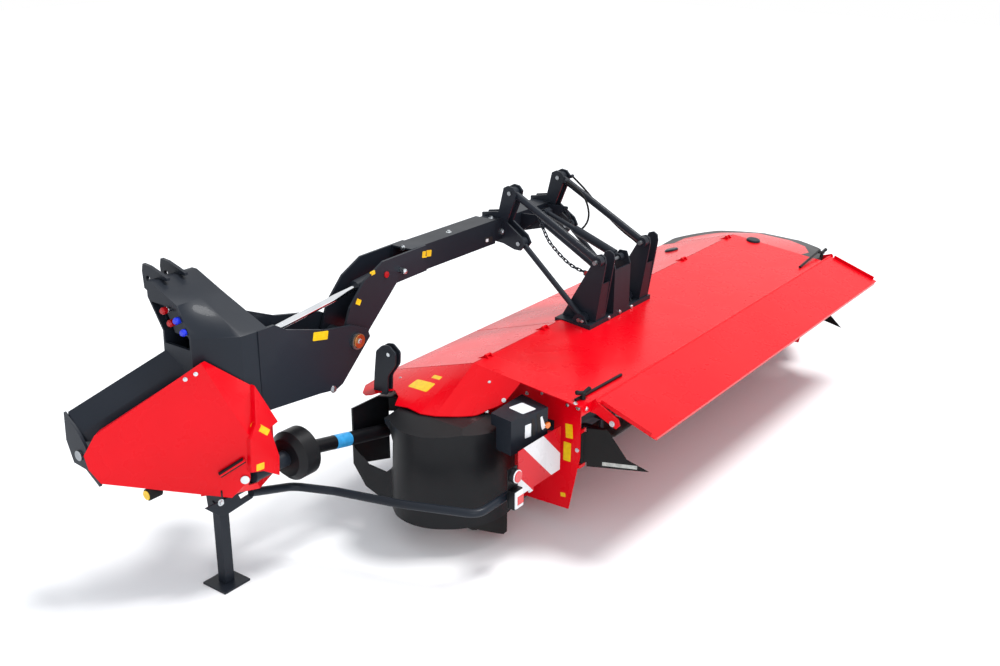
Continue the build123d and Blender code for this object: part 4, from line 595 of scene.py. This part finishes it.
def copy_of(node):
    """A merged copy of a node's own mesh."""
    shape = bmesh.new()
    shape.from_mesh(nodes[node].data)
    bmesh.ops.remove_doubles(shape, verts=shape.verts, dist=1e-5)
    return shape


def creased(made, degrees=28.0):
    """Smooth faces that break only at real edges, as pressed and moulded parts have."""
    shape = bmesh.new()
    shape.from_mesh(made.data)
    for edge in shape.edges:
        edge.smooth = edge.is_manifold and edge.calc_face_angle(0.0) < math.radians(degrees)
    for face in shape.faces:
        face.smooth = True
    shape.to_mesh(made.data)
    shape.free()
    return made


def extruded(points, way):
    """A plate: an outline of points, drawn out along a way."""
    shape = bmesh.new()
    ring = [shape.verts.new(point) for point in points]
    sheet = bmesh.ops.extrude_face_region(shape, geom=[shape.faces.new(ring)])
    moved = [v for v in sheet["geom"] if isinstance(v, bmesh.types.BMVert)]
    bmesh.ops.translate(shape, vec=way, verts=moved)
    bmesh.ops.recalc_face_normals(shape, faces=shape.faces)
    return shape


def plate_across(corners, x_low, x_high):
    """A plate whose outline is given as (y, z) from the hitch, between two x places."""
    return extruded([spot(x_low, y, z) for y, z in corners], (x_high - x_low, 0.0, 0.0))


def cut_out(made, shape):
    """Takes a closed form's volume out of a piece for good."""
    data = bpy.data.meshes.new("cutter")
    shape.to_mesh(data)
    shape.free()
    cutter = bpy.data.objects.new("cutter", data)
    scene.collection.objects.link(cutter)
    change = made.modifiers.new("recess", "BOOLEAN")
    change.operation = "DIFFERENCE"
    change.solver = "EXACT"
    change.object = cutter
    bpy.context.view_layer.update()
    result = bpy.data.meshes.new_from_object(made.evaluated_get(bpy.context.evaluated_depsgraph_get()))
    made.modifiers.clear()
    made.data = result
    bpy.data.objects.remove(cutter)
    bpy.data.meshes.remove(data)


mast = piece("open_mast", copy_of("hitch_mast"), "headstock", dark_coat)
cut_out(mast, plate_across(RECESS, *RECESS_DEPTH))
creased(mast)
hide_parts("hitch_mast")
piece("coupling_carrier", plate_across(CARRIER, *CARRIER_DEPTH), "headstock", dark_coat)
print("mast faces", len(mast.data.polygons))

# %% The skirt, cut to a slant
SLANT_PLACE = (0.90, -1.43, 0.215)
SLANT_NORMAL = (0.17, 0.0, 0.31)

skirt_shape = copy_of("rubber_apron")
whole = skirt_shape.verts[:] + skirt_shape.edges[:] + skirt_shape.faces[:]
cut = bmesh.ops.bisect_plane(skirt_shape, geom=whole, plane_co=spot(*SLANT_PLACE), plane_no=SLANT_NORMAL,
                             clear_inner=True)
rim = [e for e in cut["geom_cut"] if isinstance(e, bmesh.types.BMEdge)]
bmesh.ops.triangle_fill(skirt_shape, use_beauty=True, edges=rim)
skirt_body = body_of(nodes["rubber_apron"])[0]
skirt = creased(piece("slanted_skirt", skirt_shape, skirt_body, black_rubber))
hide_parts("rubber_apron")
print("skirt faces", len(skirt.data.polygons))

# %% [markdown]
# Three curtains of coated cloth hang from the front of the hood, to stop stones. A cloth simulation would
# only find what is known already: the cloth is held along its top edge and its weight pulls it flat, so
# the folds are shallow and grow towards the hem. They are made by moving a grid's vertices, and each
# curtain is then given its thickness.

# %% Front curtains
# curtain: what it hangs from
CURTAINS = {
    "front_curtain_inner": "front_guard_inner",
    "front_curtain_centre": "hood_panels",
    "front_curtain_outer": "front_guard_outer",
}
CLOTH = 0.003
GRID_STEP = 0.012
GRID_ROWS = 18
FOLD_PITCH = 0.145
FOLD_DEPTH = 0.0035
FOLD_WANDER, WANDER_PACE = 1.4, 3.1
SOFT_CREASE = 50.0

for node, carrier in CURTAINS.items():
    low, high = (Vector(corner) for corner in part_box(node))
    wide, tall = high.x - low.x, high.z - low.z
    cloth_shape = bmesh.new()
    bmesh.ops.create_grid(cloth_shape, x_segments=round(wide / GRID_STEP), y_segments=GRID_ROWS, size=0.5)
    stretch = Matrix.Diagonal((wide, tall, 1.0, 1.0))
    stand = Matrix.Translation((low + high) / 2) @ Matrix.Rotation(math.pi / 2, 4, "X") @ stretch
    bmesh.ops.transform(cloth_shape, matrix=stand, verts=cloth_shape.verts)
    for v in cloth_shape.verts:
        hang = (high.z - v.co.z) / tall
        along = 2 * math.pi * v.co.x / FOLD_PITCH + FOLD_WANDER * math.sin(WANDER_PACE * v.co.x)
        v.co.y += math.sin(along) * FOLD_DEPTH * hang
    bmesh.ops.solidify(cloth_shape, geom=cloth_shape.faces[:], thickness=CLOTH)
    body = body_of(nodes[node])[0]
    cloth = creased(piece(node + "_cloth", cloth_shape, body, curtain_cloth), SOFT_CREASE)
    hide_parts(node)
    print(node, "cloth", round(wide, 3), "by", round(tall, 3))

# %% [markdown]
# Round pieces are stacked from short cones along an axis: a quick coupling is a stepped collar and a dust
# cap. The blue band on the driveline's guard is a ring round the same axis as the guard tube.

# %% Turned pieces along an axis


def turned(shape, start, out, steps, sides=28):
    """Adds cones end to end along out; steps are (length, first radius, second radius)."""
    reach = 0.0
    for length, first, second in steps:
        middle = start + out * (reach + length / 2)
        bmesh.ops.create_cone(shape, cap_ends=True, segments=sides, radius1=first, radius2=second,
                              depth=length, matrix=stood(middle, out))
        reach += length
    return shape


# name: (y, z, finish), from the hitch
COUPLINGS = {
    "coupling_red_upper": (-0.262, 1.575, red_paint_spot),
    "coupling_red_lower": (-0.310, 1.518, red_paint_spot),
    "coupling_blue_upper": (-0.359, 1.541, blue_paint_spot),
    "coupling_blue_lower": (-0.405, 1.487, blue_paint_spot),
}
COLLAR_STEPS = [(0.014, 0.015, 0.015), (0.010, 0.011, 0.011)]
CAP_STEPS = [(0.022, 0.019, 0.019), (0.008, 0.019, 0.013)]
leftwards = Vector((-1.0, 0.0, 0.0))
cap_lift = leftwards * sum(step[0] for step in COLLAR_STEPS)
for name, (y, z, finish) in COUPLINGS.items():
    foot = spot(CARRIER_DEPTH[0], y, z)
    creased(piece(name + "_collar", turned(bmesh.new(), foot, leftwards, COLLAR_STEPS), "headstock", zinc))
    creased(piece(name, turned(bmesh.new(), foot + cap_lift, leftwards, CAP_STEPS), "headstock", finish))

# %% The driveline's blue band
DRIVE_START, DRIVE_END = (0.402, -0.640, 0.682), (1.156, -0.640, 0.525)
BAND_SHARE = 0.3236
BAND_LENGTH, BAND_RADIUS, BAND_FILM = 0.1246, 0.0422, 0.0008

drive_start, drive_end = spot(*DRIVE_START), spot(*DRIVE_END)
drive_way = (drive_end - drive_start).normalized()
band_middle = drive_start + (drive_end - drive_start) * BAND_SHARE + drive_way * BAND_LENGTH / 2
band = bmesh.new()
bmesh.ops.create_cone(band, cap_ends=False, segments=48, radius1=BAND_RADIUS, radius2=BAND_RADIUS,
                      depth=BAND_LENGTH, matrix=stood(band_middle, drive_way))
bmesh.ops.solidify(band, geom=band.faces[:], thickness=BAND_FILM)
creased(piece("guard_band_blue", band, body_of(nodes["driveline_outer_half"])[0], blue_film))
print("couplings and band done")

# %% [markdown]
# The lamps' housings are already there as solids, so only their lenses are added: a round reflector, a
# square lamp whose clear lens holds a red panel, and a small amber marker beside the belt cover.

# %% Lamp lenses
lamp_low = Vector(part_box("marker_lamps")[0])


def pad(name, low, high, finish, body, rim=0.003):
    """A flat cushion-edged block between two corners."""
    shape = bmesh.new()
    bmesh.ops.create_cube(shape, size=1.0)
    size = Vector(high) - Vector(low)
    bmesh.ops.scale(shape, vec=size, verts=shape.verts)
    bmesh.ops.translate(shape, vec=(Vector(low) + Vector(high)) / 2, verts=shape.verts)
    rounded(shape, shape.edges[:], min(rim, min(size) * 0.4))
    return piece(name, shape, body, finish)


REFLECTOR_OFFSET = Vector((0.045, 0.010, 0.200))
REFLECTOR_STEP = 0.006
REFLECTOR_RIM_RADIUS, REFLECTOR_RADIUS = 0.039, 0.033
AMBER_PIXEL = (547.0, 424.9)
AMBER_RADIUS, AMBER_HEIGHT = 0.020, 0.012
# name: (low corner, high corner, finish), from the lamps' low corner
LAMP_PADS = {
    "rear_lamp_lens": ((0.006, -0.010, 0.014), (0.080, 0.0, 0.116), clear_lens),
    "rear_lamp_red_panel": ((0.022, -0.013, 0.034), (0.078, -0.008, 0.086), red_lens),
}
rearwards = Vector((0.0, -1.0, 0.0))
reflector = lamp_low + REFLECTOR_OFFSET
button("rear_reflector_rim", reflector, rearwards, REFLECTOR_RIM_RADIUS, REFLECTOR_STEP, clear_lens,
       "headstock")
button("rear_reflector", reflector + rearwards * REFLECTOR_STEP, rearwards, REFLECTOR_RADIUS, REFLECTOR_STEP,
       red_lens, "headstock")
for name, (low, high, finish) in LAMP_PADS.items():
    pad(name, lamp_low + Vector(low), lamp_low + Vector(high), finish, "headstock")
amber_place, amber_out, amber_body = seen(*AMBER_PIXEL)
button("amber_marker", amber_place, amber_out, AMBER_RADIUS, AMBER_HEIGHT, amber_lens, amber_body)
print("amber marker at", [round(v, 3) for v in amber_place], amber_body)

# %% [markdown]
# Black levers with winged grips lie along the hood's rear edge; they latch the rear flap at both its
# ends. A red lever plate beside the hood carries the near end. The upright ears on the hood's front catch
# the boom's stay.

# %% Latch levers
STEM_STEPS = [(0.030, 0.016, 0.010), (0.012, 0.022, 0.022)]
WING_STEPS = [(0.052, 0.011, 0.014), (0.006, 0.014, 0.009)]
WING_HEIGHT = 0.034
WING_SIDE, WING_LIFT = (0.90, -0.25, 0.0), 0.35
upwards = Vector((0.0, 0.0, 1.0))


def wing_grip(name, foot, body):
    """A short stem with a cap, and a wing to each side of it."""
    shape = turned(bmesh.new(), foot, upwards, STEM_STEPS, 20)
    for way in (-1, 1):
        axis = (Vector(WING_SIDE) * way + upwards * WING_LIFT).normalized()
        turned(shape, foot + upwards * WING_HEIGHT, axis, WING_STEPS, 16)
    return creased(piece(name, shape, body, black_plastic))


def rod_between(name, start, end, radius, finish, body):
    """A round bar between two places."""
    way = end - start
    shape = turned(bmesh.new(), start, way.normalized(), [(way.length, radius, radius)], 16)
    return creased(piece(name, shape, body, finish))


def below(x, y, high):
    """The surface straight under a place given from the hitch."""
    graph = bpy.context.evaluated_depsgraph_get()
    _, place, _, _, _, _ = scene.ray_cast(graph, spot(x, y, high), -upwards)
    return place


ABOVE_ALL, ABOVE_HOOD = 1.6, 1.0
ROD_RADIUS = 0.009
# name: (the grip's x and y, then those of the rod's two ends), from the hitch
LATCHES = {
    "latch_near": ((1.487, -1.789), (1.430, -1.775), (1.905, -1.790)),
    "latch_far": ((5.000, -1.789), (4.560, -1.790), (4.985, -1.775)),
}
deck = "boom_and_deck"
for name, (grip_at, *ends) in LATCHES.items():
    foot = below(*grip_at, ABOVE_ALL)
    wing_grip(name + "_grip", foot, deck)
    first, last = (below(*end, ABOVE_HOOD) + upwards * ROD_RADIUS for end in ends)
    rod_between(name + "_rod", first, last, ROD_RADIUS, black_plastic, deck)
    print(name, [round(v, 3) for v in foot])

# %% Flap lever and stay ears
# outlines as (y, z) and depths as (low x, high x), from the hitch
LEVER_PLATE = [
    (-1.715, 0.872), (-1.790, 0.900), (-1.880, 0.896), (-2.008, 0.832), (-2.020, 0.795), (-1.995, 0.768),
    (-1.862, 0.826), (-1.722, 0.836),
]
LEVER_DEPTH = (1.514, 1.5235)
LEVER_RIM = 0.0015
BOSS_START, BOSS_END, BOSS_RADIUS = (1.512, -1.730, 0.856), (1.548, -1.730, 0.856), 0.014
EAR = [
    (-0.560, 0.770), (-0.572, 0.905), (-0.590, 1.046), (-0.640, 1.092), (-0.690, 1.100), (-0.742, 1.060),
    (-0.738, 0.985), (-0.676, 0.900), (-0.670, 0.780),
]
EAR_PLACES = {"near": 1.085, "far": 1.125}
EAR_THICKNESS, EAR_CORNER = 0.010, 0.012
PIN_START, PIN_END, PIN_RADIUS = (1.078, -0.690, 1.045), (1.142, -0.690, 1.045), 0.012

lever = plate_across(LEVER_PLATE, *LEVER_DEPTH)
rounded(lever, lever.edges[:], LEVER_RIM)
piece("flap_lever_plate", lever, deck, red_enamel)
rod_between("flap_lever_boss", spot(*BOSS_START), spot(*BOSS_END), BOSS_RADIUS, zinc, deck)
for side, low_x in EAR_PLACES.items():
    ear = plate_across(EAR, low_x, low_x + EAR_THICKNESS)
    corners = [e for e in ear.edges if abs(e.verts[0].co.x - e.verts[1].co.x) > EAR_THICKNESS / 2]
    rounded(ear, corners, EAR_CORNER, segments=4)
    creased(piece("stay_ear_" + side, ear, deck, dark_coat))
rod_between("stay_ear_pin", spot(*PIN_START), spot(*PIN_END), PIN_RADIUS, zinc, deck)
print("lever and ears ride on", deck)

# %% [markdown]
# Two hoses of the suspension hang in the open: one follows the far upper link down into the deck, and one
# loops from the float cylinder to the far hanger. Each is a smooth line through a short list of points
# from the hitch, made round by a bevel, and its real length is listed with it and printed. Their fittings
# are short turned pieces.

# %% Suspension hoses
HOSE_RADIUS = 0.007
# name: (length, the line's control points from the hitch)
HOSES = {
    "link_hose": (1.052, [
        (3.012, -0.700, 1.757), (3.020, -0.785, 1.692), (3.030, -0.880, 1.600), (3.046, -0.985, 1.500),
        (3.072, -1.090, 1.410), (3.104, -1.178, 1.350), (3.112, -1.250, 1.285), (3.118, -1.268, 1.205),
        (3.118, -1.250, 1.125), (3.118, -1.226, 1.050), (3.118, -1.212, 0.9723),
    ]),
    "loop_hose": (0.417, [
        (2.815, -0.905, 1.455), (2.852, -0.925, 1.478), (2.876, -0.934, 1.560), (2.880, -0.890, 1.668),
        (2.880, -0.800, 1.726), (2.880, -0.735, 1.752),
    ]),
}
# name: (start, the end's x, radius)
FITTINGS = {
    "hose_plug": ((2.991, -0.696, 1.757), 3.023, 0.012),
    "hose_socket": ((2.869, -0.731, 1.752), 2.905, 0.012),
    "hose_port": ((2.803, -0.903, 1.452), 2.819, 0.010),
}
hose_body = body_of(nodes["suspension_hoses"])[0]
for name, (length, route) in HOSES.items():
    curve = bpy.data.curves.new(name, "CURVE")
    curve.dimensions = "3D"
    line = curve.splines.new("NURBS")
    line.points.add(len(route) - 1)
    for point, place in zip(line.points, route):
        point.co = (*spot(*place), 1.0)
    line.order_u = 3
    line.use_endpoint_u = True
    curve.resolution_u = 8
    curve.bevel_depth = HOSE_RADIUS
    curve.bevel_resolution = 4
    curve.use_fill_caps = True
    curve.materials.append(black_rubber)
    made = bpy.data.objects.new(name, curve)
    scene.collection.objects.link(made)
    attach(made, hose_body)
    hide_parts("suspension_hoses")
    print(name, "length", length)
for name, (start, end_x, radius) in FITTINGS.items():
    rod_between(name, spot(*start), spot(end_x, start[1], start[2]), radius, dark_coat, hose_body)

# %% [markdown]
# The drive cover's flank is a shallow pressed box that closes the corner behind the mast. Its outline
# was read against an upright plane across the machine, so it is one flat face, pushed forward until it
# meets the cover's rear edge. The black grip wraps the bar that the solid has there. Two low domes sit on
# the hood, and a short roll with a yellow face hangs under the cover's foot.

# %% Cover flank and grip
FLANK_PIXELS = [
    (254.6, 385.2), (278.4, 421.6), (270.3, 428.3), (279.7, 455.6), (280.0, 475.4), (264.0, 471.2),
    (251.6, 473.0), (250.6, 440.0), (256.2, 424.0),
]
FLANK_Y, FLANK_DEPTH, FLANK_RIM = -0.690, 0.034, 0.004
GRIP_PIXELS = [(220.6, 473.8), (244.6, 458.8)]
GRIP_RADIUS, GRIP_SINK = 0.0165, 0.008


def on_plane(pixel, y):
    """Where the ray through a pixel meets an upright plane across the machine."""
    ray = ray_through(*pixel)
    return camera.location + ray * ((hitch_y + y - camera.location.y) / ray.y)


flank = extruded([on_plane(pixel, FLANK_Y) for pixel in FLANK_PIXELS], (0.0, FLANK_DEPTH, 0.0))
rounded(flank, flank.edges[:], FLANK_RIM)
piece("drive_cover_flank", flank, "headstock", red_enamel)
grip_ends = []
for pixel in GRIP_PIXELS:
    place, facing, _ = seen(*pixel)
    grip_ends.append(place - facing * GRIP_SINK)
rod_between("cover_grip", *grip_ends, GRIP_RADIUS, black_plastic, "headstock")
print("grip length", round((grip_ends[1] - grip_ends[0]).length, 3))

# %% Hood domes and the cover's foot
DOMES = {"hood_dome_far": (753.2, 240.8), "hood_dome_near": (671.5, 250.6)}
DOME_RADIUS, DOME_HEIGHT, DOME_RIM = 0.055, 0.016, 0.7
ROLL_FOOT = (-0.402, -0.313, 0.640)
ROLL_STEPS = [(0.006, 0.028, 0.033), (0.074, 0.033, 0.033), (0.006, 0.033, 0.026)]
ROLL_FACE_RADIUS, ROLL_FACE_HEIGHT = 0.026, 0.003
BRACKET_LOW, BRACKET_HIGH = (-0.372, -0.328, 0.665), (-0.346, -0.298, 0.682)

for name, pixel in DOMES.items():
    place, facing, body = seen(*pixel)
    button(name, place, facing, DOME_RADIUS, DOME_HEIGHT, dark_coat, body, rim=DOME_RIM)
    print(name, [round(v, 3) for v in place], body)
roll_foot = spot(*ROLL_FOOT)
roll = turned(bmesh.new(), roll_foot, -leftwards, ROLL_STEPS)
creased(piece("cover_foot_roll", roll, "headstock", black_rubber))
button("cover_foot_roll_face", roll_foot, leftwards, ROLL_FACE_RADIUS, ROLL_FACE_HEIGHT, yellow_film,
       "headstock")
pad("cover_foot_roll_bracket", spot(*BRACKET_LOW), spot(*BRACKET_HIGH), black_plastic, "headstock")

# %% [markdown]
# A label is a small grid squared up on the surface: its lower corners give its width and lean, and its
# upper corner gives its height. The corners are rounded with a vertex bevel. Each vertex is then dropped
# onto the surface, so that the film follows a curved hood, and the sheet is made solid like real film.

# %% Labels
FILM = 0.0008
DROP = 0.02
COLUMNS, ROWS = 10, 6
# name: (finish, lower left pixel, lower right pixel, upper left pixel)
LABELS = {
    "plate_label": (yellow_film, (312.7, 341.2), (327.5, 339.2), (313.3, 332.5)),
    "arm_label": (yellow_film, (422.0, 258.0), (431.0, 256.2), (422.0, 251.5)),
    "arm_label_upper": (yellow_film, (371.5, 275.8), (375.3, 273.9), (372.5, 270.8)),
    "arm_label_lower": (yellow_film, (355.4, 303.8), (359.6, 305.7), (357.1, 298.2)),
    "sleeve_label_dark": (dark_print_and_vent_shade, (484.6, 243.2), (492.3, 241.6), (484.6, 237.8)),
    "sleeve_label_white": (white_film, (485.8, 242.2), (488.2, 241.7), (485.8, 239.2)),
    "cover_flank_label": (yellow_film, (250.0, 426.4), (267.2, 435.7), (249.6, 418.4)),
    "cover_foot_label": (yellow_film, (256.4, 471.4), (264.2, 468.6), (256.4, 464.8)),
    "hood_label_large": (yellow_film, (407.7, 386.4), (426.2, 392.2), (422.5, 380.5)),
    "hood_label_small": (yellow_film, (431.2, 377.7), (439.1, 380.0), (436.3, 375.3)),
    "belt_top_label": (white_film, (508.5, 407.7), (522.8, 414.2), (519.0, 401.2)),
    "belt_rear_label": (white_film, (524.8, 438.6), (530.8, 436.2), (524.4, 425.9)),
    "belt_side_label": (white_film, (542.2, 430.0), (546.4, 428.0), (542.0, 416.2)),
    # The two belt vents are near-black film laid on the cover: painted shade where the slots' dark inside
    # would be.
    "belt_vent_near": (dark_print_and_vent_shade, (532.6, 436.0), (535.2, 434.6), (532.6, 419.0)),
    "belt_vent_far": (dark_print_and_vent_shade, (537.8, 432.9), (541.2, 431.0), (537.5, 414.2)),
    "side_plate_label_upper": (yellow_film, (566.0, 437.4), (573.0, 439.0), (566.4, 423.5)),
    "side_plate_label_lower": (yellow_film, (563.2, 459.6), (570.4, 462.0), (564.4, 441.4)),
    "swath_board_strip": (strip_film, (602.0, 465.6), (637.0, 469.6), (602.0, 462.0)),
    "side_plate_label_low": (yellow_film, (560.8, 496.1), (565.6, 497.0), (561.0, 492.2)),
}


def label(name, finish, low_left, low_right, high_left):
    """A blank label that follows the surface between three of its corners."""
    start, facing, body = seen(*low_left)
    end, _, end_body = seen(*low_right)
    top, _, top_body = seen(*high_left)
    if body is None or body != end_body or body != top_body:
        print("label off its surface", name, body, end_body, top_body)
        return None
    wide = end - start
    tall = top - start
    tall -= tall.dot(wide) / wide.length_squared * wide
    out = wide.cross(tall).normalized()
    if out.dot(facing) < 0:
        out = -out
    shape = bmesh.new()
    bmesh.ops.create_grid(shape, x_segments=COLUMNS, y_segments=ROWS, size=0.5)
    middle = Matrix.Translation(start + wide / 2 + tall / 2)
    across = Matrix((wide, tall, out)).transposed().to_4x4()
    bmesh.ops.transform(shape, matrix=middle @ across, verts=shape.verts)
    corner = min(min(wide.length, tall.length) * 0.12, wide.length / 12, tall.length / 8)
    tips = [v for v in shape.verts if len(v.link_edges) == 2]
    bmesh.ops.bevel(shape, geom=tips, offset=corner, offset_type="OFFSET", segments=3, profile=0.5,
                    affect="VERTICES", material=-1)
    graph = bpy.context.evaluated_depsgraph_get()
    for v in shape.verts:
        hit, place, _, _, _, _ = scene.ray_cast(graph, v.co + out * DROP, -out, distance=2 * DROP)
        v.co = (place if hit else v.co) + out * FILM
    bmesh.ops.solidify(shape, geom=shape.faces[:], thickness=FILM)
    print(name, "mm", round(wide.length * 1000), round(tall.length * 1000), body)
    return piece(name, shape, body, finish)


for name, row in LABELS.items():
    label(name, *row)

# %% [markdown]
# Bolt heads are six-sided cones with a round washer under them. Those of one body share a mesh, because
# they never move apart.

# %% Bolts
# (pixel, radius of the hexagon)
BOLTS = [
    ((195.7, 374.0), 0.008), ((185.2, 379.4), 0.008), ((333.5, 389.3), 0.014), ((220.8, 502.5), 0.013),
    ((402.7, 247.9), 0.012), ((448.7, 232.1), 0.012), ((491.2, 217.7), 0.012), ((501.5, 231.4), 0.014),
    ((400.3, 377.7), 0.006), ((489.4, 382.0), 0.006), ((527.0, 393.1), 0.008), ((541.8, 393.5), 0.006),
    ((503.8, 400.3), 0.009), ((567.3, 405.1), 0.008), ((578.0, 408.0), 0.010), ((577.0, 450.2), 0.009),
    ((575.4, 403.6), 0.009), ((587.0, 409.0), 0.009), ((612.0, 424.0), 0.012), ((609.1, 317.4), 0.009),
    ((620.0, 311.6), 0.008), ((631.6, 306.6), 0.009), ((582.0, 321.5), 0.008),
]
# (sides, radius, height, lift of the middle), all but the first as shares of the hexagon's radius
WASHER_AND_HEAD = [(20, 1.55, 0.25, 0.12), (6, 1.0, 0.75, 0.6)]
HEAD_TAPER = 0.94


def bolt(shape, place, out, radius):
    """Adds a washer and a six-sided head to a form."""
    for sides, wide, high, lift in WASHER_AND_HEAD:
        low_radius = radius * wide
        bmesh.ops.create_cone(shape, cap_ends=True, segments=sides, radius1=low_radius,
                              radius2=low_radius * HEAD_TAPER, depth=radius * high,
                              matrix=stood(place + out * radius * lift, out))


shapes = {}
for pixel, radius in BOLTS:
    place, facing, body = seen(*pixel)
    if body is None:
        print("bolt off the machine", pixel)
        continue
    bolt(shapes.setdefault(body, bmesh.new()), place, facing, radius)
for body, shape in shapes.items():
    piece("bolts_on_" + body, shape, body, zinc)
print("bolts on", sorted(shapes))

# %% Floor finish


def studio_floor_finish():
    """A dull floor, almost white, on which the machine's soft shadow stays."""
    finish = Finish("pale_floor")
    tone = finish.mix(finish.noise(0.8, 3.0), colour("#f6f6f6"), colour("#fafafa"))
    finish.join(tone, finish.shader.inputs["Base Color"])
    finish.shader.inputs["Roughness"].default_value = 0.9
    finish.shader.inputs["Specular IOR Level"].default_value = 0.1
    return finish.material


floor.data.materials.append(studio_floor_finish())
print("floor finish", floor.data.materials[0].name)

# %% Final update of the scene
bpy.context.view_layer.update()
